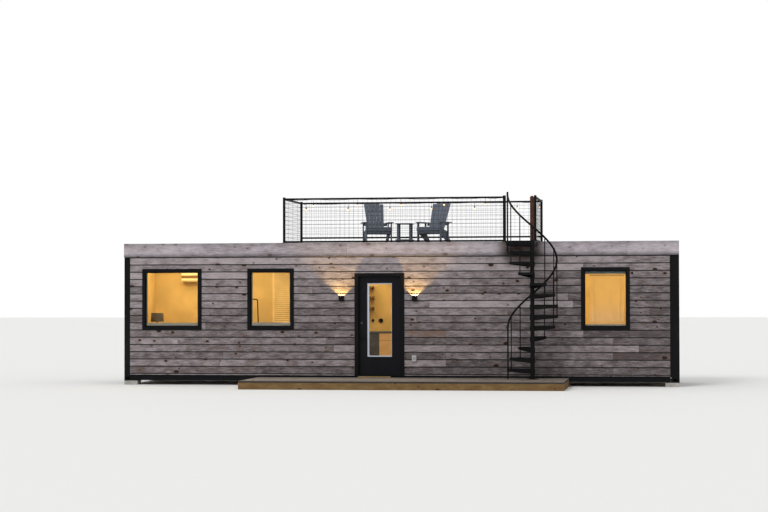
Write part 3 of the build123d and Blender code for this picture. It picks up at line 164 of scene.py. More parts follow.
def copies(shape: Shape, places: Array) -> Shape:
    """Repeat a shape, by adding every place to every point.

    Args:
        shape: What is repeated.
        places: Rows of X, Y and Z.

    Returns:
        All the copies in one shape.
    """
    count = len(places)
    points = (shape.points[None] + np.asarray(places, float)[:, None]).reshape(-1, 3)
    step = (np.arange(count) * len(shape.points))[:, None, None]
    faces = [(group[None] + step).reshape(-1, group.shape[1]) for group in shape.faces]
    return Shape(points, faces, np.tile(shape.marks, (count, 1)), np.tile(shape.edge, count))


def loft(rings: Array, mark: Color = PLAIN_MARK, edge: Array | None = None, hoop: bool = False) -> Shape:
    """A closed skin over rings of points.

    Point j of ring i is joined to point j + 1 and to ring i + 1 by a quad. Both ends are capped, or
    joined to each other in a hoop.

    Args:
        rings: Points, shaped (rings, points in a ring, 3).
        mark: Tone, warmth and seed for every point.
        edge: Share of painted groove shade for each point of a ring.
        hoop: Whether the last ring is joined to the first.

    Returns:
        The skin.
    """
    count, corners = rings.shape[:2]
    index = np.arange(count * corners).reshape(count, corners)
    ahead = np.roll(index, -1, axis=1)
    quads = np.stack([index, ahead, np.roll(ahead, -1, axis=0), np.roll(index, -1, axis=0)], axis=-1)
    faces = [quads.reshape(-1, 4)] if hoop else [quads[:-1].reshape(-1, 4), index[:1, ::-1], index[-1:]]
    groove_shade_share = None if edge is None else np.tile(edge, count)
    return Shape.closed(rings.reshape(-1, 3), faces, mark, groove_shade_share)


def beam(
    start: Point, end: Point, width: float, thickness: float, up: Point = UP, chamfer: float = 0.002,
    mark: Color = PLAIN_MARK,
) -> Shape:
    """A straight board with chamfered edges.

    An octagon of half width w and half thickness t, cut back by the chamfer at its corners, is
    carried from start to end, and the outermost rings are drawn in by the chamfer.

    Args:
        start: Middle of one end.
        end: Middle of the other end.
        width: Size across both the length and up.
        thickness: Size along up.
        up: Direction of the thickness.
        chamfer: Size of the chamfer.
        mark: Tone, warmth and seed.

    Returns:
        The board.
    """
    a, b = np.array(start, float), np.array(end, float)
    length = float(np.linalg.norm(b - a))
    along = (b - a) / length
    side = np.cross(np.array(up, float), along)
    side /= np.linalg.norm(side)
    top = np.cross(along, side)
    w, t, c = width / 2, thickness / 2, min(chamfer, width / 5, thickness / 5)
    lower = np.array([(w - c, -t), (w, c - t), (w, t - c), (w - c, t)])
    outline = np.concatenate([lower, -lower])
    inset = outline * np.array([(w - c) / w, (t - c) / t])
    stations = np.array([0.0, c, length - c, length])
    profiles = np.stack([inset, outline, outline, inset])
    rings = a + stations[:, None, None] * along + profiles[..., :1] * side + profiles[..., 1:] * top
    return loft(rings, mark)


def block(x: Span, y: Span, z: Span, chamfer: float = 0.002) -> Shape:
    """A chamfered box carried along its longest side.

    Args:
        x: Its limits along X.
        y: Its limits along Y.
        z: Its limits along Z.
        chamfer: Size of the chamfer.

    Returns:
        The box.
    """
    low, high = np.array([x, y, z], float).T
    size, middle = high - low, (low + high) / 2
    axis = int(np.argmax(size))
    start, end = middle.copy(), middle.copy()
    start[axis], end[axis] = low[axis], high[axis]
    rise = 2 if axis != 2 else 1
    across = 3 - axis - rise
    return beam(start, end, float(size[across]), float(size[rise]), np.eye(3)[rise], chamfer)


def border(
    x: Span, y: Span, z: Span, left: float, right: float, foot: float, head: float, chamfer: float,
    uprights_through: bool = True,
) -> list[Shape]:
    """Four bars round a rectangle.

    Args:
        x: Outer limits along X.
        y: Limits of the bars' thickness.
        z: Outer limits along Z.
        left: Width of the left bar.
        right: Width of the right bar.
        foot: Height of the lower bar.
        head: Height of the upper bar.
        chamfer: Size of the chamfer.
        uprights_through: Whether the upright bars run past the level ones at the corners.

    Returns:
        The bars.
    """
    inner_x, inner_z = (x[0] + left, x[1] - right), (z[0] + foot, z[1] - head)
    tall, wide = (z, inner_x) if uprights_through else (inner_z, x)
    return [
        block(wide, y, (z[0], inner_z[0]), chamfer),
        block(wide, y, (inner_z[1], z[1]), chamfer),
        block((x[0], inner_x[0]), y, tall, chamfer),
        block((inner_x[1], x[1]), y, tall, chamfer),
    ]


def prism(outline: ArrayLike, x: Span) -> Shape:
    """An outline in Y and Z carried straight along X."""
    flat = np.array(outline, float)
    return loft(np.stack([spots(value, flat[:, 0], flat[:, 1]) for value in x]))


def pipe(path: ArrayLike, radius: float, sides: int = 10, up: Point = UP) -> Shape:
    """A round tube along a path.

    Each ring is the path's point plus the radius times cos(a) along the side direction and
    sin(a) along the one square to it and to the path.

    Args:
        path: Rows of X, Y and Z.
        radius: Radius of the tube.
        sides: Points in a ring.
        up: A direction that the path never takes.

    Returns:
        The tube.
    """
    line = np.asarray(path, float)
    heading = np.gradient(line, axis=0)
    heading /= np.linalg.norm(heading, axis=1)[:, None]
    side = np.cross(np.array(up, float), heading)
    side /= np.linalg.norm(side, axis=1)[:, None]
    over = np.cross(heading, side)
    angle = np.linspace(0, 2 * math.pi, sides, endpoint=False)[None, :, None]
    return loft(line[:, None] + radius * (np.cos(angle) * side[:, None] + np.sin(angle) * over[:, None]))


def turned(outline: ArrayLike, centre: Point, sides: int = 20, hoop: bool = False) -> Shape:
    """A solid of revolution, in which each point of the outline is a ring about the upright axis.

    Args:
        outline: Rows of radius and height.
        centre: Where the axis stands.
        sides: Points in a ring.
        hoop: Whether the outline closes on itself.

    Returns:
        The solid.
    """
    flat = np.array(outline, float)
    angle = np.linspace(0, 2 * math.pi, sides, endpoint=False)
    rings = np.empty((len(flat), sides, 3))
    rings[..., 0] = flat[:, :1] * np.cos(angle)
    rings[..., 1] = flat[:, :1] * np.sin(angle)
    rings[..., 2] = flat[:, 1:]
    return loft(rings + np.array(centre, float), hoop=hoop)


def screw_head(radius: float, height: float) -> Shape:
    """A low domed head standing on Z = 0."""
    return turned([(radius, 0), (radius * 0.85, height * 0.7), (radius * 0.3, height)], ORIGIN, 8)


# Shader graphs


@dataclass
class Value:
    """A number or colour in a node tree, on which arithmetic adds nodes."""

    graph: "Graph"
    socket: bpy.types.NodeSocket

    def __add__(self, other: Any) -> "Value":
        """The sum."""
        return self.graph.math("ADD", self, other)

    def __sub__(self, other: Any) -> "Value":
        """The difference."""
        return self.graph.math("SUBTRACT", self, other)

    def __rsub__(self, other: Any) -> "Value":
        """The difference from a plain number."""
        return self.graph.math("SUBTRACT", other, self)

    def __mul__(self, other: Any) -> "Value":
        """The product."""
        return self.graph.math("MULTIPLY", self, other)

    def __truediv__(self, other: Any) -> "Value":
        """The quotient."""
        return self.graph.math("DIVIDE", self, other)

    __radd__ = __add__


class Graph:
    """Adds nodes to one node tree and joins them."""

    def __init__(self, tree: bpy.types.NodeTree) -> None:
        """Keep the tree that is being built."""
        self.tree = tree

    def feed(self, node: bpy.types.Node, inputs: Sockets) -> None:
        """Give a node its inputs.

        Args:
            node: The node.
            inputs: For each socket a value to link, a number or a colour.
        """
        for name, value in inputs.items():
            if isinstance(value, Value):
                self.tree.links.new(value.socket, node.inputs[name])
            else:
                node.inputs[name].default_value = (*value, 1.0) if isinstance(value, tuple) else value

    def node(self, kind: str, inputs: Sockets | None = None, **settings: Any) -> bpy.types.Node:
        """Add a shader node.

        Args:
            kind: Its type, without ShaderNode.
            inputs: What its sockets are given.
            settings: Its properties.

        Returns:
            The node.
        """
        made = self.tree.nodes.new(f"ShaderNode{kind}")
        for name, value in settings.items():
            setattr(made, name, value)
        self.feed(made, inputs or {})
        return made

    def value(
        self, kind: str, inputs: Sockets | None = None, put_out: str | int = 0, **settings: Any
    ) -> Value:
        """One output of a new node."""
        return Value(self, self.node(kind, inputs, **settings).outputs[put_out])

    def values(self, kind: str, inputs: Sockets, **settings: Any) -> list[Value]:
        """Every output of a new node."""
        return [Value(self, socket) for socket in self.node(kind, inputs, **settings).outputs]

    def math(self, operation: str, a: Any, b: Any = 0.0, clamp: bool = False) -> Value:
        """One step of arithmetic."""
        return self.value("Math", {0: a, 1: b}, operation=operation, use_clamp=clamp)

    def vector(self, x: Any, y: Any, z: Any = 0.0) -> Value:
        """A vector from three numbers."""
        return self.value("CombineXYZ", {0: x, 1: y, 2: z})

    def split(self, vector: Value) -> list[Value]:
        """The three numbers of a vector."""
        return self.values("SeparateXYZ", {0: vector})

    def noise(self, vector: Value, scale: float, detail: float = 2.0, rough: float = 0.5) -> Value:
        """Noise from 0 to 1."""
        inputs = {"Vector": vector, "Scale": scale, "Detail": detail, "Roughness": rough}
        return self.value("TexNoise", inputs)

    def remap(self, value: Any, low: float, high: float, to: Span = (0.0, 1.0)) -> Value:
        """The value's range low to high spread smoothly over another, and clamped to it."""
        inputs = {"Value": value, "From Min": low, "From Max": high, "To Min": to[0], "To Max": to[1]}
        return self.value("MapRange", inputs, interpolation_type="SMOOTHSTEP")

    def mix(self, share: Any, a: Any, b: Any) -> Value:
        """Two colours mixed, by the share of the second."""
        return self.value("Mix", {0: share, 6: a, 7: b}, 2, data_type="RGBA")

    def place(self) -> Value:
        """Object coordinates."""
        return self.value("TexCoord", put_out="Object")

    def bump(self, height: Value, distance: float, strength: float) -> Value:
        """A normal raised by a height from 0 to 1."""
        return self.value("Bump", {"Height": height, "Distance": distance, "Strength": strength})


def new_group(name: str, inputs: dict[str, str], outputs: Sequence[str]) -> tuple[Graph, list[Value]]:
    """Start a node group with named sockets.

    Args:
        name: Name of the group.
        inputs: Names of its inputs with their kind, Float or Vector.
        outputs: Names of the numbers that it puts out.

    Returns:
        The group's graph, and its inputs as values.
    """
    tree = bpy.data.node_groups.new(name, "ShaderNodeTree")
    for label, kind in inputs.items():
        tree.interface.new_socket(name=label, in_out="INPUT", socket_type=f"NodeSocket{kind}")
    for label in outputs:
        tree.interface.new_socket(name=label, in_out="OUTPUT", socket_type="NodeSocketFloat")
    graph, given = Graph(tree), tree.nodes.new("NodeGroupInput")
    return graph, [Value(graph, given.outputs[label]) for label in inputs]


def finished_group(graph: Graph, *values: Value) -> bpy.types.NodeTree:
    """Join the values to a group's outputs, in their order."""
    graph.feed(graph.tree.nodes.new("NodeGroupOutput"), dict(enumerate(values)))
    return graph.tree


@cache
def board_figure() -> bpy.types.NodeTree:
    """Growth rings, streaks, knots with halos, stains and cracks of sawn timber along one direction.

    Knots sit in some cells of a stretched cell pattern, and the rings' phase swirls round them.

    Returns:
        The node group.
    """
    outputs = ("Grain", "Knot", "Halo", "Stain", "Crack", "Height")
    sockets = dict.fromkeys(("Along", "Across", "Seed"), "Float")
    graph, (along, across, seed) = new_group("board_figure", sockets, outputs)
    along, across = along + seed * 41.0, across + seed * 13.0

    def stretched(lengthwise: float, crosswise: float, *noise: float) -> Value:
        """Noise drawn out along the board."""
        return graph.noise(graph.vector(along * lengthwise, across * crosswise), *noise)

    cell_at = {"Vector": graph.vector(along * 0.62, across), "Scale": 4.0, "Randomness": 1.0}
    distance, cell_color = graph.values("TexVoronoi", cell_at, voronoi_dimensions="2D")[:2]
    pick, size, _ = graph.split(cell_color)
    reach = graph.math("POWER", size, 3.0) * 0.12 + 0.05
    near = distance / reach + graph.noise(graph.vector(along, across), 60.0, 2.0) * 0.9
    chosen = graph.math("GREATER_THAN", pick, 0.52)
    knot, halo, swirl = (graph.remap(near, *ends) * chosen for ends in ((1.6, 1.15), (3.6, 1.3), (4.5, 1.0)))
    phase = across * 430.0 + stretched(0.7, 7.0, 1.0) * 46.0 + swirl * 11.0
    rings = graph.math("SINE", phase) * 0.5 + 0.5
    fine = rings * 0.45 + stretched(9.0, 380.0, 1.0) * 0.55
    grain = fine * 0.4 + graph.remap(stretched(5.0, 60.0, 1.0, 5.0, 0.8), 0.3, 0.7) * 0.6
    stain = stretched(2.0, 4.0, 1.6, 5.0, 0.62)
    crack = graph.remap(stretched(1.3, 75.0, 1.0, 1.0), 0.7, 0.76)
    height = graph.math("SUBTRACT", grain, crack + knot * 0.5, clamp=True)
    return finished_group(graph, grain, knot, halo, stain, crack, height)


@cache
def weather() -> bpy.types.NodeTree:
    """Dust, scuffs and fine unevenness of a surface left outdoors.

    Returns:
        The node group.
    """
    graph, (place,) = new_group("weather", {"Vector": "Vector"}, ("Dust", "Scuff", "Fine"))
    x, y, z = graph.split(place)
    rain_runs = graph.noise(graph.vector(x * 7.0, y * 7.0, z * 0.7), 1.0, 3.0)
    scuff = graph.remap(graph.noise(place, 26.0, 5.0, 0.7), 0.66, 0.74)
    dust = rain_runs * graph.noise(place, 1.3, 4.0, 0.6)
    return finished_group(graph, dust, scuff, graph.noise(place, 160.0, 3.0))


def shaded(color: Color, share: float, lift: float = 0.0) -> Color:
    """A colour times a share, plus a lift."""
    return tuple(share * part + lift for part in color)


# Finishes


@dataclass(frozen=True)
class Finish:
    """A finish: a material named after it."""

    name: str

    def material(self) -> bpy.types.Material:
        """Build the material the first time that it is asked for.

        Returns:
            The material.
        """
        made = bpy.data.materials.get(self.name)
        if made is None:
            made = bpy.data.materials.new(self.name)
            made.use_nodes = True
            graph = Graph(made.node_tree)
            graph.feed(made.node_tree.nodes["Principled BSDF"], self.sockets(graph))
        return made

    def sockets(self, graph: Graph) -> Sockets:
        """Work out what the shader is given.

        Args:
            graph: The material's graph.

        Returns:
            A value, number or colour for each of the shader's sockets that is set.
        """
        raise NotImplementedError


class Run(Enum):
    """Which way a board's length lies."""

    X = 0
    Y = 1


@dataclass(frozen=True)
class Timber(Finish):
    """Sawn, weathered timber whose boards carry their own tone, with a rust stain and painted shade round a
    place where it has one.
    """

    dark: Color
    light: Color
    warm: Color
    knot: Color = (0.014, 0.009, 0.008)
    run: Run = Run.X
    tone: float | None = None
    rough: float = 0.82
    relief: float = 0.0012
    contrast: float = 1.0
    knots: float = 1.0
    rust_and_shade_place: tuple[float, float, float] | None = None
    rust: Color = (0.03, 0.018, 0.009)

    def sockets(self, graph: Graph) -> Sockets:
        """Mix dark and light by the board's tone, stain and grain, then lay knots and cracks on it.

        Args:
            graph: Where nodes are added.

        Returns:
            What goes into the shader's sockets.
        """
        x, y, z = graph.split(graph.place())
        along, across = (x, y + z) if self.run is Run.X else (y, x + z)
        tone, warmth, seed = self.tone, 0.3, 0.0
        if tone is None:
            board = graph.value("Attribute", put_out="Vector", attribute_name="board")
            tone, warmth, seed = graph.split(board)
        place = {"Along": along, "Across": across, "Seed": seed}
        grain, knot, halo, stain, crack, height = graph.values("Group", place, node_tree=board_figure())
        blotch, streak = (stain - 0.5) * (0.95 * self.contrast), (grain - 0.5) * (0.85 * self.contrast)
        color = graph.mix(graph.remap(tone + (blotch + streak), 0.0, 1.0), self.dark, self.light)
        warm_patch = graph.remap(1.0 - stain + warmth, 0.62, 1.15)
        for mask, share, over in (
            (warm_patch, 0.75, self.warm),
            (halo, 0.32 * self.knots, self.warm),
            (crack, 0.75 * self.knots, self.knot),
            (knot, 0.97 * self.knots, self.knot),
        ):
            color = graph.mix(mask * share, color, over)
        # A rust stain with painted shade round it under the stair landing, on the front only, fading out
        # sideways and downwards.
        if self.rust_and_shade_place is not None:
            middle, reach, foot = self.rust_and_shade_place
            near = graph.remap(graph.math("ABSOLUTE", x - middle), reach, 0.45 * reach)
            near = near * graph.remap(z, foot - 0.3, foot + 0.1) * graph.math("LESS_THAN", y, 0.0)
            color = graph.mix(near * graph.remap(stain, 0.3, 0.6, (0.7, 0.97)), color, self.rust)
        # Painted shade: the edge attribute mixes grooves, bevels and gaps towards GROOVE_SHADE.
        groove_shade_share = graph.value("Attribute", put_out="Fac", attribute_name="edge")
        return {
            "Base Color": graph.mix(groove_shade_share * 0.88, color, GROOVE_SHADE),
            "Roughness": graph.remap(grain, 0.2, 0.9, (self.rough + 0.08, self.rough - 0.1)),
            "Normal": graph.bump(height, self.relief, 0.8),
            "Specular IOR Level": 0.25,
        }


@dataclass(frozen=True)
class PaintedSteel(Finish):
    """Satin paint on steel, dusty where rain runs, with rust at scuffs and above a height."""

    paint: Color
    dust: Color = (0.05, 0.045, 0.04)
    rust: Color = (0.11, 0.04, 0.018)
    rust_share: float = 0.35
    rough: float = 0.55
    rusty_rough: float = 0.8
    gloss: float = 0.08
    bare_above: float | None = None

    def sockets(self, graph: Graph) -> Sockets:
        """Lay dust over the paint, then rust where it is scuffed.

        Args:
            graph: Where nodes are added.

        Returns:
            What goes into the shader's sockets.
        """
        place = graph.place()
        dust, scuff, fine = graph.values("Group", {"Vector": place}, node_tree=weather())
        dust = graph.remap(dust, 0.2, 0.5) * 0.1
        rust = scuff * self.rust_share
        if self.bare_above is not None:
            bare = graph.remap(graph.split(place)[2], self.bare_above - 0.01, self.bare_above + 0.02)
            blotch = graph.remap(graph.noise(place, 14.0, 4.0), 0.3, 0.7, (0.55, 1.0))
            rust = graph.math("MAXIMUM", rust, bare * blotch)
        return {
            "Base Color": graph.mix(rust, graph.mix(dust, self.paint, self.dust), self.rust),
            "Roughness": graph.remap(rust, 0.0, 1.0, (self.rough, self.rusty_rough)) + dust * 0.6,
            "Normal": graph.bump(fine, 0.0003, 0.35),
            "Specular IOR Level": self.gloss,
        }


@dataclass(frozen=True)
class Mineral(Finish):
    """Cast concrete with pores and damp patches."""

    pale: Color
    damp: Color

    def sockets(self, graph: Graph) -> Sockets:
        """Mix two greys by broad noise and pit the surface with fine noise.

        Args:
            graph: Where nodes are added.

        Returns:
            What goes into the shader's sockets.
        """
        place = graph.place()
        pores = graph.noise(place, 90.0, 4.0, 0.6)
        color = graph.mix(graph.remap(graph.noise(place, 5.0, 6.0, 0.65), 0.3, 0.7), self.damp, self.pale)
        color = graph.mix(graph.remap(pores, 0.62, 0.75), color, self.damp)
        return {"Base Color": color, "Roughness": 0.9, "Normal": graph.bump(pores, 0.002, 0.7)}


@dataclass(frozen=True)
class LitWall(Finish):
    """The room's painted boards, with the lamplight on them painted into their colour and an emission as a
    painted glow, and with faint joints and roller texture.
    """

    color: Color
    glow: float
    joint_pitch: float = 1.22

    def sockets(self, graph: Graph) -> Sockets:
        """Darken thin upright joints and mottle the paint.

        Args:
            graph: Where nodes are added.

        Returns:
            What goes into the shader's sockets.
        """
        place = graph.place()
        x, y, _ = graph.split(place)
        wave = graph.math("SINE", (x + y) * (math.pi / self.joint_pitch))
        joint = graph.remap(graph.math("ABSOLUTE", wave), 0.008, 0.0)
        deep = shaded(self.color, 0.78)
        color = graph.mix(graph.remap(graph.noise(place, 2.2, 4.0), 0.3, 0.7), deep, self.color)
        color = graph.mix(joint * 0.5, color, deep)
        # Painted light: the amber colour is lamplight, and the emission is a painted glow.
        return {
            "Base Color": color,
            "Roughness": 0.75,
            "Normal": graph.bump(graph.noise(place, 120.0, 3.0), 0.0006, 0.4),
            "Emission Color": color,
            "Emission Strength": self.glow,
        }


@dataclass(frozen=True)
class Moulded(Finish):
    """Moulded plastic or enamel with a faint skin texture, and a band of painted shade between two heights
    where it has one.
    """

    color: Color
    rough: float = 0.5
    soil: float = 0.15
    painted_shade_band: tuple[float, float, Color] | None = None

    def sockets(self, graph: Graph) -> Sockets:
        """Soil the colour a little, paint shade into the band between two heights, and pebble the surface.

        Args:
            graph: Where nodes are added.

        Returns:
            What goes into the shader's sockets.
        """
        place = graph.place()
        dust, _, fine = graph.values("Group", {"Vector": place}, node_tree=weather())
        grimy = shaded(self.color, 0.45, 0.02)
        color = graph.mix(graph.remap(dust, 0.15, 0.5) * self.soil, self.color, grimy)
        # Painted shade: the band between its two heights takes a darker colour.
        if self.painted_shade_band is not None:
            low, high, shade = self.painted_shade_band
            height = graph.split(place)[2]
            inside = graph.remap(height, low - 0.003, low) * graph.remap(height, high, high - 0.003)
            color = graph.mix(inside, color, shade)
        return {
            "Base Color": color,
            "Roughness": graph.remap(fine, 0.2, 0.8, (self.rough - 0.06, self.rough + 0.1)),
            "Normal": graph.bump(fine, 0.0003, 0.3),
        }


@dataclass(frozen=True)
class BrushedMetal(Finish):
    """Satin metal with fine lengthwise brushing."""

    color: Color

    def sockets(self, graph: Graph) -> Sockets:
        """Stretch noise into brush lines that vary the roughness.

        Args:
            graph: Where nodes are added.

        Returns:
            What goes into the shader's sockets.
        """
        x, y, z = graph.split(graph.place())
        lines = graph.noise(graph.vector(x * 900.0, y * 900.0, z * 20.0), 1.0)
        return {
            "Base Color": graph.mix(lines, shaded(self.color, 0.7), self.color),
            "Metallic": 1.0,
            "Roughness": graph.remap(lines, 0.2, 0.8, (0.28, 0.45)),
            "Normal": graph.bump(lines, 0.0002, 0.3),
        }


@dataclass(frozen=True)
class ClearGlass(Finish):
    """Clear glazing with faint smears, or a frosted lamp that glows."""

    tint: Color = (0.97, 0.985, 0.975)
    glow: Color | None = None
    glow_strength: float = 0.0

    def sockets(self, graph: Graph) -> Sockets:
        """Plain transmission; smears only raise the roughness a little.

        Args:
            graph: Where nodes are added.

        Returns:
            What goes into the shader's sockets.
        """
        smear = graph.remap(graph.noise(graph.place(), 3.0, 4.0), 0.45, 0.8, (0.0, 0.03))
        given = {"Base Color": self.tint, "Metallic": 0.0, "Roughness": smear, "IOR": 1.12}
        if self.glow is None:
            return given | {"Transmission Weight": 1.0}
        glow = {"Emission Color": self.glow, "Emission Strength": self.glow_strength}
        return given | glow | {"Transmission Weight": 0.3}


@dataclass(frozen=True)
class GlowingSlat(Finish):
    """Thin slats with the room's light behind them painted in as colour and glow, bluer low down."""

    color: Color
    glow: float

    def sockets(self, graph: Graph) -> Sockets:
        """Paint the light behind the slat into its colour and glow, a little uneven.

        Args:
            graph: Where nodes are added.

        Returns:
            What goes into the shader's sockets.
        """
        place = graph.place()
        fade = graph.remap(graph.split(place)[2], 1.3, 1.9)
        red, green, blue = self.color
        uneven = graph.remap(graph.noise(place, 6.0, 3.0), 0.3, 0.7, (0.0, 0.35))
        color = graph.mix(fade, (red * 0.86, green * 0.92, blue * 1.9), self.color)
        color = graph.mix(uneven, color, shaded(self.color, 0.8))
        glow = {"Emission Color": color, "Emission Strength": self.glow}
        return {"Base Color": color, "Roughness": 0.55, **glow}


class Palette:
    """The cabin's finishes."""

    cladding = Timber(
        "weathered_cedar", (0.068, 0.054, 0.054), (0.405, 0.355, 0.37), (0.19, 0.115, 0.08),
        rust_and_shade_place=(2.72, 0.5, 2.75),
    )
    fascia = Timber(
        "silvered_cedar", (0.18, 0.152, 0.162), (0.49, 0.443, 0.478), (0.32, 0.235, 0.21),
        contrast=1.1, knots=0.5, rust_and_shade_place=(2.72, 0.62, 2.6),
    )
    fascia_ends = replace(fascia, name="silvered_cedar_ends", run=Run.Y, rust_and_shade_place=None)
    deck = Timber("deck_pine", (0.14, 0.115, 0.095), (0.4, 0.345, 0.3), (0.3, 0.2, 0.12))
    joists = Timber(
        "joist_pine", (0.2, 0.13, 0.07), (0.42, 0.29, 0.17), (0.3, 0.18, 0.09), run=Run.Y, tone=0.5
    )
    porch = Timber("porch_pine", (0.12, 0.1, 0.085), (0.36, 0.31, 0.265), (0.26, 0.18, 0.11))
    rim = Timber("treated_rim", (0.09, 0.055, 0.02), (0.24, 0.155, 0.06), (0.15, 0.07, 0.025), tone=0.45)
    sill = Timber("sill_plank", (0.13, 0.075, 0.03), (0.34, 0.23, 0.11), (0.26, 0.15, 0.06), tone=0.55)
    plywood = Timber(
        "floor_plywood", (0.26, 0.17, 0.09), (0.5, 0.36, 0.22), (0.4, 0.26, 0.14), tone=0.6, rough=0.5
    )
    cabinet = Timber(
        "dark_cabinet", (0.06, 0.08, 0.14), (0.105, 0.14, 0.25), (0.06, 0.08, 0.13),
        tone=0.5, rough=0.5, knots=0.0,
    )
    shelf = Timber(
        "shelf_board", (0.14, 0.075, 0.025), (0.26, 0.15, 0.05), (0.2, 0.11, 0.04),
        tone=0.5, rough=0.6, knots=0.0,
    )
    oak = Timber(
        "pale_cabinet", (0.5, 0.37, 0.24), (0.8, 0.63, 0.46), (0.62, 0.45, 0.28),
        tone=0.6, rough=0.5, contrast=0.4, knots=0.0,
    )
    # Painted shade: the dark board behind the louvre slats.
    louvre_gap_shade = Timber("louvre_back_shade", (0.3, 0.17, 0.05), (0.42, 0.26, 0.09), (0.34, 0.2, 0.07), tone=0.5)
    steel = PaintedSteel("black_paint", (0.0042, 0.0045, 0.0052))
    pole = PaintedSteel("pole_paint", (0.0045, 0.0045, 0.005), rust=(0.085, 0.036, 0.022), bare_above=3.02)
    frames = PaintedSteel("frame_black", (0.004, 0.0043, 0.0052), rust_share=0.0)
    door = PaintedSteel("door_black", (0.0052, 0.0052, 0.0082), rust_share=0.0, rough=0.45, gloss=0.1)
    lamps = PaintedSteel("matt_black", (0.006, 0.006, 0.007), rust_share=0.0, rough=0.65)
    lock = PaintedSteel("lock_bronze", (0.022, 0.024, 0.034), rust_share=0.0, rough=0.3, gloss=0.5)
    rail_brown = PaintedSteel("dark_tube", (0.035, 0.02, 0.012), rust_share=0.1)
    concrete = Mineral("pier_concrete", (0.42, 0.4, 0.37), (0.24, 0.23, 0.21))
    # Painted light: the wall and louvre colours are the amber of lamplight, and the louvres glow a little.
    walls = LitWall("lamplit_wall", (0.72, 0.52, 0.24), 0.0)
    louvre = LitWall("lamplit_louvre", (0.86, 0.66, 0.36), 0.05)
    glass = ClearGlass("clear_glass")
    bulbs = ClearGlass("glowing_bulb", (1.0, 0.76, 0.48), (1.0, 0.63, 0.3), 1.0)
    filament = ClearGlass("sconce_glow", (1.0, 0.86, 0.66), (1.0, 0.72, 0.42), 6.0)
    # Painted light: the blind's slats take the amber of the lamplight behind them, with a painted glow.
    slats = GlowingSlat("lit_slats", (0.5, 0.265, 0.05), 0.68)
    white = Moulded("white_enamel", (0.62, 0.65, 0.65), 0.4)
    # Painted shade: a dark band across the top of the air unit's front.
    air_unit = Moulded("air_unit_shell", (0.8, 0.72, 0.5), 0.4, painted_shade_band=(2.372, 2.44, (0.2, 0.1, 0.03)))
    bead = Moulded("bead_paint", (0.50, 0.54, 0.61), 0.5)
    # Painted shade: pale sash vinyl given the dark greenish grey that it shows in shade behind the glass.
    sash = Moulded("shaded_sash_vinyl", (0.27, 0.245, 0.2), 0.6)
    outlet = Moulded("grey_cover", (0.5, 0.51, 0.52), 0.55, 0.5)
    chair = Moulded("chair_boards", (0.082, 0.098, 0.13), 0.62, 0.5)
    valance = Moulded("valance_paint", (0.5, 0.25, 0.05), 0.6)
    # Painted shade: the blind's pale head rail given the dark greenish grey that it shows in shade.
    head_rail = Moulded("shaded_head_rail", (0.1, 0.15, 0.155), 0.6)
    shade = Moulded("lamp_shade", (0.13, 0.115, 0.075), 0.85)
    satin = BrushedMetal("brushed_hinge", (0.42, 0.41, 0.39))


SLOT_FINISH: dict[str, Finish] = {
    "concrete": Palette.concrete,
    "black_steel": Palette.steel,
    "plywood": Palette.plywood,
    "cladding_wood": Palette.cladding,
    "fascia_wood": Palette.fascia,
    "lining": Palette.walls,
    "frame_paint": Palette.frames,
    "window_glass": Palette.glass,
    "blind_slats": Palette.slats,
    "sill_wood": Palette.sill,
    "door_paint": Palette.door,
    "satin_steel": Palette.satin,
    "lamp_black": Palette.lamps,
    "outlet_grey": Palette.outlet,
    "deck_wood": Palette.joists,
    "porch_wood": Palette.porch,
    "porch_rim_wood": Palette.rim,
    "chair_grey": Palette.chair,
    "cabinet_grey": Palette.cabinet,
    "shelf_wood": Palette.oak,
    "white_plastic": Palette.white,
    "bulb_glass": Palette.bulbs,
}
NODE_FINISH: dict[str, Finish] = {
    "stair_pole": Palette.pole,
    "wall_shelves": Palette.shelf,
    "wall_air_unit": Palette.air_unit,
}


def dress_solids() -> None:
    """Give every CAD node the finish of its slot, or its own where it has one."""
    for row in frame["record"]["subparts"]:
        node = frame["nodes"][row["node"]]
        finish = NODE_FINISH.get(row["node"], SLOT_FINISH[row["material_slot"]])
        node.data.materials.clear()
        node.data.materials.append(finish.material())
    log.info("dressed %d solids", len(frame["nodes"]))


def put_in_scene(name: str, data: bpy.types.ID) -> bpy.types.Object:
    """Make an object of a mesh, light or camera.

    Args:
        name: Name of the object.
        data: What it shows.

    Returns:
        The object.
    """
    made = bpy.data.objects.new(name, data)
    bpy.context.scene.collection.objects.link(made)
    return made


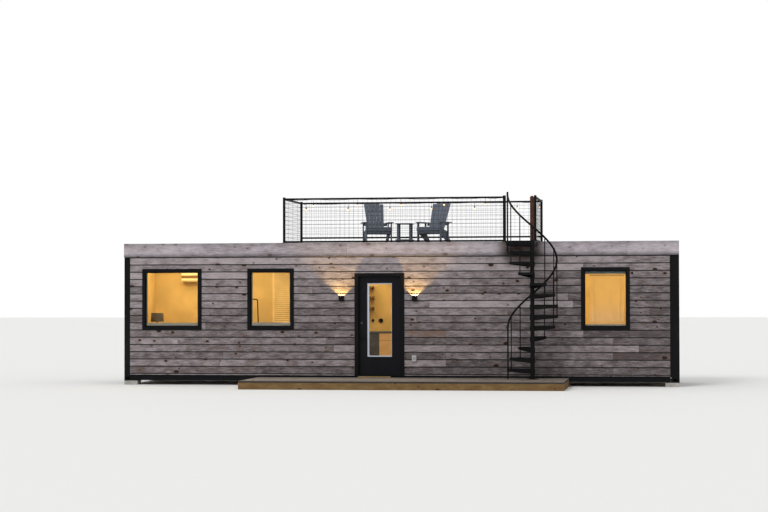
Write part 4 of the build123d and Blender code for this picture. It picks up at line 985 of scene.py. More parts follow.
def make_piece(
    name: str, shapes: Shape | Iterable[Shape], finish: Finish, body: str = CABIN,
    replaces: Sequence[str] = (), smooth: float | None = None,
) -> None:
    """Put shapes into one object that rides on a body.

    Args:
        name: Name of the piece.
        shapes: What it is made of.
        finish: Its finish.
        body: The body it rides on.
        replaces: CAD nodes that it stands for.
        smooth: Angle in degrees under which edges are shaded smooth, or None for flat faces.
    """
    shape = shapes if isinstance(shapes, Shape) else joined(shapes)
    mesh = bpy.data.meshes.new(name)
    loops = np.concatenate([group.ravel() for group in shape.faces])
    sizes = np.concatenate([np.full(len(group), group.shape[1]) for group in shape.faces])
    mesh.vertices.add(len(shape.points))
    mesh.vertices.foreach_set("co", shape.points.astype(np.float32).ravel())
    mesh.loops.add(len(loops))
    mesh.loops.foreach_set("vertex_index", loops.astype(np.int32))
    mesh.polygons.add(len(sizes))
    mesh.polygons.foreach_set("loop_start", (np.cumsum(sizes) - sizes).astype(np.int32))
    mesh.update(calc_edges=True)
    marks = mesh.attributes.new("board", "FLOAT_VECTOR", "POINT")
    marks.data.foreach_set("vector", shape.marks.astype(np.float32).ravel())
    edge = mesh.attributes.new("edge", "FLOAT", "POINT")
    edge.data.foreach_set("value", shape.edge.astype(np.float32))
    mesh.polygons.foreach_set("use_smooth", np.full(len(sizes), smooth is not None))
    if smooth is not None:
        mesh.set_sharp_from_angle(angle=math.radians(smooth))
    mesh.materials.append(finish.material())
    piece = put_in_scene(name, mesh)
    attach(piece, body)
    if replaces:
        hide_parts(*replaces)
    log.info("%s: %d points, %d faces", name, len(shape.points), len(sizes))


# Boarded surfaces


class Facing(Enum):
    """Where boards face: the axis across a row, the axis of depth, and the way that depth grows."""

    FRONT = (2, 1, 1.0)
    BACK = (2, 1, -1.0)
    TOP = (1, 2, -1.0)


@dataclass
class BoardRows:
    """Rows of boards along X that meet at butt joints, each board with its own tone.

    A board's profile has a row for each of its points: the depth in from the weathered face, the place across
    the row and its share of painted shade.
    """

    x: Span
    seed: int
    stock: float = 3.66
    joint_gap: float = 0.002
    step: float = 0.45
    warp: float = 0.0007
    face_depth: float = 0.005
    tone_spread: float = 0.095
    tone_middle: float = 0.48

    def __post_init__(self) -> None:
        """Start the seeded draws."""
        self.random = np.random.default_rng(self.seed)

    def mark(self, warmth: float | None = None) -> Color:
        """Draw the next board's look.

        Args:
            warmth: Its warmth, where that isn't drawn.

        Returns:
            Tone, warmth and seed.
        """
        tone = float(np.clip(self.random.normal(self.tone_middle, self.tone_spread), 0.02, 0.98))
        warm = float(self.random.uniform(0, 0.35) ** 1.5) if warmth is None else warmth
        return tone, warm, float(self.random.uniform())

    def joints(self) -> list[float]:
        """Draw the butt joints of one row, about a board's length apart.

        Returns:
            Their places along X.
        """
        place = self.x[0] + float(self.random.uniform(0.25, 1.0)) * self.stock
        found = []
        while place < self.x[1] - 0.4:
            found.append(place)
            place += self.stock * float(self.random.uniform(0.8, 1.0))
        return found

    def lengths(self, joints: Iterable[float]) -> list[Span]:
        """The stretches of a row between its joints."""
        stops = [self.x[0], *sorted(joints), self.x[1]]
        return list(zip(stops, stops[1:]))

    def board(self, x: Span, profile: Array, facing: Facing, face: float, mark: Color) -> Shape:
        """One board, whose face bows by warp * (1 + sin(k x + p)).

        Args:
            x: Ends of the board.
            profile: Its profile.
            facing: Where its weathered face looks.
            face: Where that face lies.
            mark: Tone, warmth and seed.

        Returns:
            The board.
        """
        across, depth, way = facing.value
        inward, place, groove_shade_share = profile.T
        count = max(2, int((x[1] - x[0]) / self.step) + 1)
        stations = np.linspace(*x, count)
        bow = self.warp * (1 + np.sin(stations * 2.1 + mark[2] * 6.28))
        rings = np.empty((count, len(profile), 3))
        rings[..., 0] = stations[:, None]
        rings[..., across] = place
        rings[..., depth] = face + way * (inward + bow[:, None] * (inward < self.face_depth))
        return loft(rings, mark, groove_shade_share)


@dataclass
class BoardedFront:
    """Shiplap boards on the front, cut round the windows and the door."""

    pitch: float = 0.160
    groove: float = 0.019
    groove_depth: float = 0.010
    thickness: float = 0.020
    bevel: float = 0.0025
    rows: int = 16
    window_reach: float = 0.024
    least: float = 0.004
    warm_row: int = 10
    warmth: float = 0.5
    warm_ends: Span = (0.2, 1.09)
    warm_board_darkening: float = 0.12
    aligned_rows: tuple[int, ...] = (1, 10, 11, 12, 13, 14)
    aligned_joint: float = 1.09
    far_rows: tuple[int, ...] = (11, 13, 15)
    far_joint: float = 4.69
    joint_room: float = 1.2
    low_row: float = 5.5
    low_shade: float = 0.08
    top_rows: int = 3
    top_lift: float = 0.16
    far_x: float = 3.9
    far_shade: float = 0.22
    most_shade: float = 0.3
    stud_pitch: float = 0.61
    nail_shares: Span = (0.25, 0.72)

    def holes(self) -> list[tuple[float, float, float, float]]:
        """Find the openings from the frames' own places.

        Returns:
            Low and high X and low and high Z of each.
        """
        found = []
        inset = self.window_reach
        for side in ("left", "middle", "right"):
            low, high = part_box(f"window_frame_{side}")
            found.append((low.x + inset, high.x - inset, low.z + inset, high.z - inset))
        left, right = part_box("cladding_left")[1].x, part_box("cladding_right")[0].x
        return [*found, (left, right, 0.0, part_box("cladding_head")[0].z)]

    def profile(self, z: Span, row: Span) -> Array:
        """The part of a row's outline between two heights.

        A whole board has bevelled face edges and a rebated lip at the top; a cut edge is square.

        Args:
            z: Lower and upper edge of the part.
            row: Lower and upper edge of the row.

        Returns:
            The profile.
        """
        low, high = row
        is_whole_below, is_whole_above = z[0] < low + TINY, z[1] > high - TINY
        foot = low if is_whole_below else z[0]
        crest = high - self.groove if is_whole_above else z[1]
        middle, bevel, depth = (foot + crest) / 2, self.bevel, self.groove_depth
        # The third number of each point is its share of painted shade: full on the groove, the bevels and the
        # back, less on cut edges.
        cut_foot, cut_crest = [(0.0, foot, 0.3)], [(0.0, crest, 0.3)]
        bevelled_foot = [(bevel, foot, 1.0), (0.0, foot + bevel, 0.6)]
        lip = [(0.0, crest - bevel, 0.2), (bevel, crest, 1.0), (depth, crest, 1.0), (depth, high, 1.0)]
        return np.array(
            [
                (self.thickness, foot, 1.0),
                *(bevelled_foot if is_whole_below else cut_foot),
                (0.0, min(foot + 0.006, middle), 0.0),
                (0.0, max(crest - 0.004, middle), 0.0),
                *(lip if is_whole_above else cut_crest),
                (self.thickness, high if is_whole_above else crest, 1.0),
            ]
        )

    def spans(self, x: Span, z: Span) -> list[tuple[Span, Span]]:
        """Cut the openings out of a board.

        Args:
            x: Ends of the board.
            z: Lower and upper edge of the board.

        Returns:
            The rectangles of X and Z that are left.
        """
        pieces = [(x, z)]
        for x0, x1, z0, z1 in self.holes():
            kept = []
            for (xa, xb), (za, zb) in pieces:
                if x1 <= xa or x0 >= xb or z1 <= za or z0 >= zb:
                    kept.append(((xa, xb), (za, zb)))
                    continue
                inner = (max(xa, x0), min(xb, x1))
                sides = (
                    (xa < x0, (xa, x0), (za, zb)),
                    (xb > x1, (x1, xb), (za, zb)),
                    (za < z0 - self.least, inner, (za, z0)),
                    (zb > z1 + self.least, inner, (z1, zb)),
                )
                kept += [(along, upright) for is_left, along, upright in sides if is_left]
            pieces = kept
        return pieces

    def row_joints(self, row: int, drawn: list[float]) -> list[float]:
        """Move a row's joints to the places where the photograph shows them.

        Args:
            row: Number of the row from the top.
            drawn: Joints that were drawn for it.

        Returns:
            Its joints.
        """
        for rows, fixed in ((self.aligned_rows, self.aligned_joint), (self.far_rows, self.far_joint)):
            if row in rows:
                drawn = [joint for joint in drawn if abs(joint - fixed) > self.joint_room] + [fixed]
        if row == self.warm_row:
            drawn = [joint for joint in drawn if joint > self.warm_ends[1]] + list(self.warm_ends)
        return drawn

    def build(self) -> None:
        """Lay the rows down from the fascia, then the thin strip under them, and nail them."""
        low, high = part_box("cladding_left")
        layout = BoardRows((low.x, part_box("cladding_right")[1].x), 11)
        shapes, nails = [], []
        for row in range(self.rows + 1):
            z_high = high.z - row * self.pitch
            edges = (max(z_high - self.pitch, low.z), z_high)
            # Painted shade: rows from low_row down and boards past far_x are darker; the top rows are lighter
            # by top_lift; the warm board's own tone is darker.
            low_share = min(1.0, max(0.0, (row - self.low_row) / 3))
            row_shade = self.low_shade * low_share - self.top_lift * float(row < self.top_rows)
            for start, stop in layout.lengths(self.row_joints(row, layout.joints())):
                is_warm = row == self.warm_row and start == self.warm_ends[0]
                tone, warmth, seed = layout.mark(self.warmth if is_warm else None)
                shade = row_shade + self.far_shade * float((start + stop) / 2 > self.far_x)
                shade += self.warm_board_darkening * float(is_warm)
                mark = (tone - min(shade, self.most_shade), warmth, seed)
                for x, z in self.spans((start, stop - layout.joint_gap), edges):
                    shapes.append(layout.board(x, self.profile(z, edges), Facing.FRONT, low.y, mark))
                    first, last = math.ceil(x[0] / self.stud_pitch), math.floor(x[1] / self.stud_pitch)
                    studs = np.arange(first, last + 1)
                    if z[1] - z[0] > self.pitch * 0.9:
                        for share in self.nail_shares:
                            nails.append(spots(studs * self.stud_pitch, low.y, edges[0] + share * self.pitch))
        replaced = ("cladding_left", "cladding_right", "cladding_head")
        make_piece("front_boards", shapes, Palette.cladding, replaces=replaced)
        head = screw_head(0.0035, 0.0008).facing_front(ORIGIN)
        make_piece("board_nails", copies(head, np.concatenate(nails)), Palette.steel)


@dataclass
class RoofEdge:
    """Fascia boards on all four sides of the roof, with butt joints."""

    front_joints: tuple[float, ...] = (-4.3, -1.09, 2.55, 5.0)
    back_joints: tuple[float, ...] = (-3.2, 0.4, 4.1)
    thickness: float = 0.038
    chamfer: float = 0.004
    corner_gap: float = 0.002

    def build(self) -> None:
        """Carry each board along its side of the roof and bow its face by under a millimetre."""
        low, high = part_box("fascia_boards")
        layout = BoardRows((low.x, high.x), 7, tone_spread=0.16, tone_middle=0.62)
        c, thick, height = self.chamfer, self.thickness, high.z - low.z
        # The third number is painted shade: dark on the back and bottom edge, fading up the lower third of the
        # face, and a little on the top edge.
        profile = np.array(
            [
                (thick, low.z, 1.0), (c, low.z, 1.0), (0, low.z + c, 0.8), (0, low.z + 0.3 * height, 0.0),
                (0, low.z + 0.7 * height, 0.0), (0, high.z - c, 0.35), (c, high.z, 0.5), (thick, high.z, 0.6),
            ]
        )
        shapes = []
        sides = ((self.front_joints, Facing.FRONT, low.y), (self.back_joints, Facing.BACK, high.y))
        for joints, facing, face in sides:
            for start, stop in layout.lengths(joints):
                ends = (start, stop - layout.joint_gap)
                shapes.append(layout.board(ends, profile, facing, face, layout.mark()))
        make_piece("fascia_planks", shapes, Palette.fascia, replaces=("fascia_boards",))
        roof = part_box("container_roof")[1].z
        middle, inset = (roof + high.z) / 2, thick + self.corner_gap
        shapes = []
        for x in (thick / 2 - high.x, high.x - thick / 2):
            ends = ((x, low.y + inset, middle), (x, high.y - inset, middle))
            shapes.append(beam(*ends, thick, high.z - roof, chamfer=c, mark=layout.mark()))
        make_piece("fascia_end_planks", shapes, Palette.fascia_ends)


@dataclass
class PlankFloor:
    """Planks along X that stand for a flat deck solid, screwed down at each joist."""

    name: str
    node: str
    slot: str
    finish: Finish
    count: int
    joists: Array
    seed: int
    gap: float = 0.005
    chamfer: float = 0.004
    edge_shade_width: float = 0.025
    screw_inset: float = 0.028

    def build(self) -> None:
        """Lay the planks side by side with open gaps, and a row of screws over every joist."""
        low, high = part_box(self.node)
        layout = BoardRows((low.x, high.x), self.seed, tone_spread=0.2)
        pitch = (high.y - low.y + self.gap) / self.count
        c, thick, inset = self.chamfer, high.z - low.z, self.edge_shade_width
        shapes, screws = [], []
        for row in range(self.count):
            y0 = low.y + row * pitch
            y1 = y0 + pitch - self.gap
            # The third number paints shade beside the gaps, fading to nothing a short way in from each edge.
            profile = np.array(
                [
                    (thick, y0, 1.0), (c, y0, 1.0), (0, y0 + c, 0.7), (0, y0 + inset, 0.0),
                    (0, y1 - inset, 0.0), (0, y1 - c, 0.7), (c, y1, 1.0), (thick, y1, 1.0),
                ]
            )
            joints = {float(min(self.joists, key=lambda j: abs(j - place))) for place in layout.joints()}
            for start, stop in layout.lengths(joints):
                ends = (start, stop - layout.joint_gap)
                shapes.append(layout.board(ends, profile, Facing.TOP, high.z, layout.mark()))
            for y in (y0 + self.screw_inset, y1 - self.screw_inset):
                screws.append(spots(self.joists, y, high.z - 0.0012))
        make_piece(self.name, shapes, self.finish, replaces=(self.node,))
        heads = copies(screw_head(0.0045, 0.001), np.concatenate(screws))
        make_piece(f"{self.name}_screws", heads, Palette.lamps)


# Terrace


@dataclass
class TerraceMesh:
    """Upright wires of the railings' welded mesh, and bolts in the posts' feet."""

    wire: float = 0.0018
    pitch: float = 0.102
    low_front: float = 0.029
    low_back: float = 0.173
    rail_drop: float = 0.019
    first_wire: float = 0.09
    bolt_reach: float = 0.036
    foot_plate: float = 0.008
    post_inset: float = 0.05

    def uprights(self, start: Span, end: Span, low: float, high: float) -> Shape:
        """Stand wires at even places on a line.

        Args:
            start: X and Y where the line starts.
            end: X and Y where it ends.
            low: Height of the wires' feet.
            high: Height of their tops.

        Returns:
            The wires.
        """
        a, b = np.array((*start, 0)), np.array((*end, 0))
        count = int(float(np.linalg.norm(b - a)) // self.pitch)
        share = (np.arange(count) + 0.5) / count
        one = pipe([(0.0, 0.0, low), (0.0, 0.0, high)], self.wire, 6, (1, 0, 0))
        return copies(one, a + share[:, None] * (b - a))

    def build(self) -> None:
        """Stand the wires in the four panels, just off the level wires that they are welded to."""
        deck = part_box("roof_deck")[1].z
        front, back, left, right = (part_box(f"railing_{side}") for side in ("front", "back", "left", "right"))
        top = left[1].z - self.rail_drop
        y_front = (front[0].y + front[1].y) / 2 - self.wire
        y_back = (back[0].y + back[1].y) / 2 + self.wire
        x_left = (left[0].x + left[1].x) / 2 - self.wire
        x_right = (right[0].x + right[1].x) / 2 + self.wire
        edge, foot = self.first_wire, deck + self.low_front
        wires = [
            self.uprights((front[0].x + edge, y_front), (front[1].x - edge, y_front), foot, top),
            self.uprights((back[0].x + edge, y_back), (back[1].x - edge, y_back), deck + self.low_back, top),
            self.uprights((x_left, y_front + edge), (x_left, y_back - edge), foot, top),
            self.uprights((x_right, y_front + edge), (x_right, y_back - edge), foot, top),
        ]
        make_piece("railing_mesh", wires, Palette.steel, smooth=60)
        reach, level = self.bolt_reach, deck + self.foot_plate
        corners = np.array([(x, y, level) for x in (-reach, reach) for y in (-reach, reach)])
        posts = [(x, y_front) for x in (front[0].x + self.post_inset, front[1].x - self.post_inset)]
        posts += [(x, y_back) for x in (back[0].x + self.post_inset, back[1].x - self.post_inset)]
        posts.append((x_right - self.wire, y_front))
        places = np.concatenate([corners + np.array((x, y, 0.0)) for x, y in posts])
        bolts = copies(screw_head(0.008, 0.006), places)
        make_piece("railing_bolts", bolts, Palette.steel, smooth=40)


@dataclass
class StringLights:
    """Festoon lights: a cord under each top rail with sockets and glowing bulbs."""

    cord_radius: float = 0.004
    sag: float = 0.012
    bulb_radius: float = 0.020
    drop: float = 0.140
    socket_length: float = 0.045
    socket_radius: float = 0.013
    lead_radius: float = 0.003
    ribs: int = 5
    rib_pitch: float = 0.006
    front_x: tuple[float, ...] = (-1.869, -0.889, 0.083, 1.028, 1.930)
    back_x: tuple[float, ...] = (-2.404, -1.424, -0.450, 0.507, 1.500, 2.468)
    front_end: float = 2.287
    post: float = 0.050
    side_y: float = 1.662

    def cord(self, start: Point, end: Point, hangers: Iterable[float]) -> Shape:
        """Clip a cord at every hanger, and let it dip between them by sag * sin(pi t) squared.

        Args:
            start: Where it starts.
            end: Where it ends.
            hangers: Distances of its clips from the start.

        Returns:
            The cord.
        """
        first, way = np.array(start), np.array(end) - np.array(start)
        stops = np.unique([0.0, *hangers, float(np.linalg.norm(way))])
        share = np.linspace(0, 1, 9)[:-1]
        spans = [start + share * (end - start) for start, end in zip(stops, stops[1:])]
        distance = np.append(np.concatenate(spans), stops[-1])
        dip = np.append(np.tile(self.sag * np.sin(np.pi * share) ** 2, len(stops) - 1), 0.0)
        path = first + distance[:, None] * way / stops[-1] - dip[:, None] * np.array(UP)
        return pipe(path, self.cord_radius, 8)

    def build(self) -> None:
        """Run the cords along the rails' inner faces, then hang the sockets and bulbs."""
        low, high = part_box("string_lights")
        level = high.z - self.cord_radius
        y_front, y_back = low.y + self.bulb_radius, high.y - self.bulb_radius
        x_side, back_end = high.x - self.bulb_radius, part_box("railing_right")[1].x - 1.5 * self.post
        side_start = y_front + self.post
        cords = [
            self.cord(
                (low.x, y_front, level), (self.front_end, y_front, level), np.array(self.front_x) - low.x
            ),
            self.cord((low.x, y_back, level), (back_end, y_back, level), np.array(self.back_x) - low.x),
            self.cord(
                (x_side, side_start, level), (x_side, y_back - self.post, level), [self.side_y - side_start]
            ),
        ]
        front, back = spots(self.front_x, y_front, 0), spots(self.back_x, y_back, 0)
        hung = np.concatenate([front, back, [(x_side, self.side_y, 0)]])
        centre, r = high.z - self.drop, self.socket_radius
        neck = centre + math.sqrt(self.bulb_radius**2 - r**2 * 0.6)
        top = neck + self.socket_length
        lead = turned([(self.lead_radius, top - 0.001), (self.lead_radius, level)], ORIGIN, 8)
        outline = [(r * 0.5, top), (r * 0.8, top - self.rib_pitch / 2)]
        for z in top - self.rib_pitch * np.arange(1, self.ribs + 1):
            outline += [(r * 0.86, z), (r * 0.93, z - self.rib_pitch / 2)]
        outline += [(r, top - 0.038), (r, neck - 0.002), (r * 0.6, neck - 0.002)]
        socket = turned(outline, ORIGIN, 16)
        angle = np.linspace(-math.pi / 2, math.radians(52), 12)
        globe = np.column_stack([self.bulb_radius * np.cos(angle), centre + self.bulb_radius * np.sin(angle)])
        globe[0, 0] = 0.0004
        bulb = turned(np.vstack([globe, (r * 0.72, neck)]), ORIGIN)
        dark = [*cords, copies(lead, hung), copies(socket, hung)]
        make_piece("light_cords", dark, Palette.lamps, smooth=50)
        bulbs = copies(bulb, hung)
        make_piece("light_bulbs", bulbs, Palette.bulbs, replaces=("string_lights",), smooth=60)


@dataclass
class GardenChair:
    """A slatted chair with a leaning back, built facing -Y and turned into place."""

    name: str
    node: str
    place: tuple[float, float, float]
    turn: float
    width: float = 0.590
    depth: float = 0.500
    board: float = 0.022
    rail: float = 0.070
    chamfer: float = 0.003
    seat_up: float = 0.345
    seat_run: float = 0.350
    seat_fall: float = 0.100
    seat_slats: int = 4
    low_apron: float = 0.057
    stringer: float = 0.110
    arm_up: float = 0.455
    arm_width: float = 0.110
    height: float = 0.905
    lean: float = math.radians(23)
    back_slats: int = 5
    back_width: float = 0.450
    back_foot: float = 0.360
    back_crown: float = 0.018
    rear_post: float = 0.050
    rear_post_up: float = 0.060
    top_rail_up: float = 0.540
    gap: float = 0.005

    def tapered(self, start: Point, end: Point, widths: Array, share: Array) -> Shape:
        """A board that lies across X and changes its half width along its length.

        Its section is an octagon, scaled by the half width, and by the thickness less up to an
        eighth where the board narrows.

        Args:
            start: Middle of one end.
            end: Middle of the other end.
            widths: Half widths.
            share: Shares of the length at which they stand.

        Returns:
            The board.
        """
        first, way = np.array(start), np.array(end) - np.array(start)
        side = np.array((1.0, 0.0, 0.0))
        over = np.cross(way / np.linalg.norm(way), side)
        bend = 1 - (1 - widths / widths.max()).clip(0, 0.12)
        right = np.array([(0.96, -1), (1, -0.8), (1, 0.8), (0.96, 1)])
        section = np.concatenate([right, -right])
        rings = first + share[:, None, None] * way + section[:, :1] * widths[:, None, None] * side
        return loft(rings + section[:, 1:] * (self.board / 2) * bend[:, None, None] * over)

    def crosswise(
        self, middle: Point, length: float, width: float, thickness: float, up: Point = UP
    ) -> Shape:
        """A board along X about its middle."""
        reach = np.array((length / 2, 0.0, 0.0))
        return beam(np.array(middle) - reach, np.array(middle) + reach, width, thickness, up, self.chamfer)

    def flank(self, side: int) -> list[Shape]:
        """One side of the chair.

        Args:
            side: -1 for the left or 1 for the right.

        Returns:
            Its front leg, stringer, rear post and arm.
        """
        thick, front, back = self.board, -self.depth / 2, self.depth / 2
        x = side * (self.width / 2 - thick / 2)
        inner = x - side * thick
        hip_y = front + self.seat_run
        leg, rear = (x, front + self.rail / 2), (x, hip_y + self.rear_post / 2)
        outline = [
            (front, self.seat_up), (front, self.seat_up - self.stringer), (back - self.rail, 0),
            (back + self.rail, 0), (hip_y, self.seat_up - self.seat_fall),
        ]
        share = np.linspace(0, 1, 17)
        nose = np.sqrt(np.clip(1 - ((0.09 - share) / 0.095).clip(0, 1) ** 2, 0.05, 1))
        widths = self.arm_width / 2 * np.minimum(nose, 1 - 0.25 * share**2)
        z = self.arm_up + thick / 2
        along = (0, 1, 0)
        return [
            beam((*leg, 0), (*leg, self.arm_up), thick, self.rail, along, self.chamfer),
            prism(outline, (inner - thick / 2, inner + thick / 2)),
            beam(
                (*rear, self.rear_post_up), (*rear, self.arm_up), thick, self.rear_post, along, self.chamfer
            ),
            self.tapered((x, front - thick, z), (x, back, z), widths, share),
        ]

    def seat(self) -> list[Shape]:
        """Work out the boards between the flanks.

        Returns:
            The two aprons and the seat's slats.
        """
        thick, front, between = self.board, -self.depth / 2, self.width - 2 * self.board
        low_z = self.seat_up - self.rail - self.gap - self.low_apron / 2
        made = [
            self.crosswise(
                (0, front - thick / 2, self.seat_up - self.rail / 2), self.width, thick, self.rail
            ),
            self.crosswise((0, front + thick / 2, low_z), between, thick, self.low_apron),
        ]
        length = math.hypot(self.seat_run, self.seat_fall)
        back = np.array((0, self.seat_run, -self.seat_fall)) / length
        normal = np.array((0, self.seat_fall, self.seat_run)) / length
        pitch = length / self.seat_slats
        for place in (np.arange(self.seat_slats) + 0.5) * pitch:
            middle = np.array((0, front, self.seat_up)) + back * place + normal * thick / 2
            made.append(self.crosswise(middle, between, pitch - self.gap, thick, normal))
        return made

    def leaning_back(self) -> list[Shape]:
        """Fan the back's slats out from the hip, with a rounded top to each.

        Returns:
            The slats and the three rails behind them.
        """
        thick, hip_z = self.board, self.seat_up - self.seat_fall
        up = np.array((0, math.sin(self.lean), math.cos(self.lean)))
        ahead = np.array((0, -math.cos(self.lean), math.sin(self.lean)))
        hip = np.array((0, self.seat_run - self.depth / 2, hip_z))
        rise = (self.height - hip_z) / math.cos(self.lean)
        foot, top = self.back_foot / self.back_slats, self.back_width / self.back_slats
        share = np.array([0.0, 0.5, 0.985, 0.993, 0.998, 1.0])
        crown = np.array([1.0, 1.0, 1.0, 0.98, 0.93, 0.84])
        widths = (foot + share * (top - foot) - self.gap) / 2 * crown
        middle_slat = (self.back_slats - 1) / 2
        made = []
        for place in np.arange(self.back_slats) - middle_slat:
            length = rise - self.back_crown * (place / middle_slat) ** 2
            start = hip + np.array((place * foot, 0, 0)) + ahead * thick / 2 - up * self.rail / 2
            end = hip + np.array((place * top, 0, 0)) + ahead * thick / 2 + up * length
            made.append(self.tapered(start, end, widths, share))
        between = self.width - 2 * thick
        levels = ((0.0, between), (self.arm_up - hip_z, between), (self.top_rail_up, self.back_foot))
        for level, wide in levels:
            made.append(self.crosswise(hip + up * level - ahead * thick / 2, wide, self.rail, thick, ahead))
        return made

    def build(self) -> None:
        """Make the chair, turn it and stand it on the deck."""
        shapes = [*self.flank(-1), *self.flank(1), *self.seat(), *self.leaning_back()]
        whole = joined(shapes).moved(self.turn, self.place)
        make_piece(self.name, whole, Palette.chair, replaces=(self.node,))


@dataclass
class SideTable:
    """A low slatted table."""

    boards: int = 5
    board: float = 0.022
    gap: float = 0.006
    leg: float = 0.042
    inset: float = 0.027
    low_rail: float = 0.050
    chamfer: float = 0.003

    def build(self) -> None:
        """Four legs, a ring of stretchers and the top boards."""
        low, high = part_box("side_table")
        cut, under = self.chamfer, high.z - self.board
        pitch = (high.y - low.y + self.gap) / self.boards
        made = []
        for y in low.y + pitch * np.arange(self.boards):
            made.append(block((low.x, high.x), (y, y + pitch - self.gap), (under, high.z), cut))
        leg_x, leg_y = (low.x + self.inset, high.x - self.inset), (low.y + self.inset, high.y - self.inset)
        for x in (leg_x[0], leg_x[1] - self.leg):
            for y in (leg_y[0], leg_y[1] - self.leg):
                made.append(block((x, x + self.leg), (y, y + self.leg), (low.z, under), cut))
        z = (low.z + self.low_rail, low.z + self.low_rail + self.leg)
        for y in (leg_y[0] - self.board, leg_y[1]):
            made.append(block((low.x, high.x), (y, y + self.board), z, cut))
        for x in (leg_x[0], leg_x[1] - self.board):
            made.append(block((x, x + self.board), leg_y, z, cut))
        make_piece("side_table_boards", made, Palette.chair, replaces=("side_table",))


# Stair


@dataclass
class StairFittings:
    """Set screws, weld beads and base bolts of the spiral stair."""

    pole: Span = (3.014, -0.888)
    porch: float = 0.178
    riser: float = 2.942 / 13
    treads: int = 12
    first: float = math.radians(184.4)
    circle: float = 0.520
    hub: float = 0.0568
    screw_drop: float = 0.05
    screw_turn: float = 0.9
    bolt_circle: float = 0.095
    base_plate: float = 0.010

    def build(self) -> None:
        """Place screws on each hub, a bead round each baluster at its tread and bolts in the base."""
        step = 2 * math.pi / self.treads
        x, y = self.pole
        shapes, beads = [], []
        for index in range(1, self.treads + 1):
            level, angle = self.porch + index * self.riser, self.first - index * step
            head = screw_head(0.007, 0.006).facing_front((0, -self.hub, level - self.screw_drop))
            for turn in (-self.screw_turn, self.screw_turn):
                shapes.append(head.moved(angle + step / 2 + turn + math.pi, (x, y, 0.0)))
            if index < self.treads:
                baluster = (x + self.circle * math.cos(angle), y + self.circle * math.sin(angle))
                beads += [(*baluster, level), (*baluster, level + self.riser)]
        bead = turned([(0.0112, 0.0), (0.016, 0.001), (0.015, 0.004), (0.0112, 0.007)], ORIGIN, 14)
        turns = (np.arange(4) + 0.5) * math.pi / 2
        reach, base = self.bolt_circle, self.porch + self.base_plate
        bolts = spots(x + reach * np.cos(turns), y + reach * np.sin(turns), base)
        shapes += [copies(bead, np.array(beads)), copies(screw_head(0.011, 0.012), bolts)]
        make_piece("stair_fittings", shapes, Palette.steel, smooth=40)


# Windows and door


@dataclass
class WindowSashes:
    """Gaskets and pale sash rails of the windows."""

    reveal: float = 0.063
    gasket: float = 0.028
    gasket_y: Span = (-0.186, -0.1785)
    gasket_chamfer: float = 0.001
    rail_heights: tuple[float, ...] = (0.088, 0.098, 0.060)
    rail_y: Span = (-0.1572, -0.1352)
    stile: float = 0.042
    play: float = 0.001
    chamfer: float = 0.003

    def build(self) -> None:
        """Frame each pane with a black gasket and stand a pale rail and stiles behind it."""
        black, pale = [], []
        gap, g = self.play / 2, self.gasket
        for side, rail_height in zip(("left", "middle", "right"), self.rail_heights):
            low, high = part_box(f"window_frame_{side}")
            x, z = (low.x + self.reveal, high.x - self.reveal), (low.z + self.reveal, high.z - self.reveal)
            black += border(
                x, self.gasket_y, z, g, g, g, g, self.gasket_chamfer, uprights_through=False
            )
            left, right = x[0] + self.play, x[1] - self.play
            pale.append(block((left, right), self.rail_y, (z[0] + gap, z[0] + rail_height), self.chamfer))
            if side != "right":
                upright = (z[0] + rail_height + gap, z[1] - gap)
                for start in (left, right - self.stile):
                    pale.append(block((start, start + self.stile), self.rail_y, upright, self.chamfer))
        make_piece("window_gaskets", black, Palette.lamps)
        # The rails' finish paints their shade in as a dark grey.
        make_piece("window_sash_rails", pale, Palette.sash)


@dataclass
class Blind:
    """Closed slats in the right window, with their rails and pull cords."""

    drop: float = 0.094
    bar: float = 0.024
    foot_bar: float = 0.022
    pitch: float = 0.0215
    half_width: float = 0.0125
    crown: float = 0.0016
    lean: float = math.radians(68)
    gauge: float = 0.0006
    end_gap: float = 0.003
    foot_chamfer: float = 0.004
    cord_insets: Span = (0.111, 0.079)
    cord_foot: float = 0.02
    head_gap: float = 0.064
    head_levels: Span = (0.078, 0.0005)
    cords: tuple[Span, ...] = ((-0.0105, 0.0018), (0.010, 0.0012))

    def build(self) -> None:
        """Hang the slats, each an arc across its width that leans and laps the next one down."""
        low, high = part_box("window_blind")
        x, y, middle = (low.x, high.x), (low.y, high.y), (low.y + high.y) / 2
        under = high.z - self.drop
        top = under - self.bar - 0.002
        count = int((top - low.z - self.bar) / self.pitch)
        share = np.linspace(-1, 1, 7)
        width, arc = share * self.half_width, self.crown * (1 - share**2)
        cos, sin = math.cos(self.lean), math.sin(self.lean)
        outer = np.column_stack([width * cos + arc * sin + middle, width * sin - arc * cos])
        inner = outer[::-1] + np.array([self.gauge, 0.0])
        one = prism(np.concatenate([outer, inner]), (low.x + self.end_gap, high.x - self.end_gap))
        slats = copies(one, spots(0, 0, top - self.pitch * (np.arange(count) + 0.5)))
        foot_rail = block(x, y, (low.z, low.z + self.foot_bar), self.foot_chamfer)
        replaced = ("window_blind",)
        make_piece("blind_slats", [slats, foot_rail], Palette.slats, replaces=replaced)
        shapes = [block(x, y, (under - self.bar, under), 0.003)]
        for place in (low.x + self.cord_insets[0], high.x - self.cord_insets[1]):
            for depth, radius in self.cords:
                ends = [(place, middle + depth, low.z + self.cord_foot), (place, middle + depth, high.z)]
                shapes.append(pipe(ends, radius, 6, (1, 0, 0)))
        make_piece("blind_valance", shapes, Palette.valance)
        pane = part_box("window_frame_right")
        across = (pane[0].x + self.head_gap, pane[1].x - self.head_gap)
        level = (high.z - self.head_levels[0], high.z - self.head_levels[1])
        # The head rail's finish paints its shade in as a dark greenish grey.
        head = block(across, y, level, self.foot_chamfer)
        make_piece("blind_head_rail", head, Palette.head_rail)


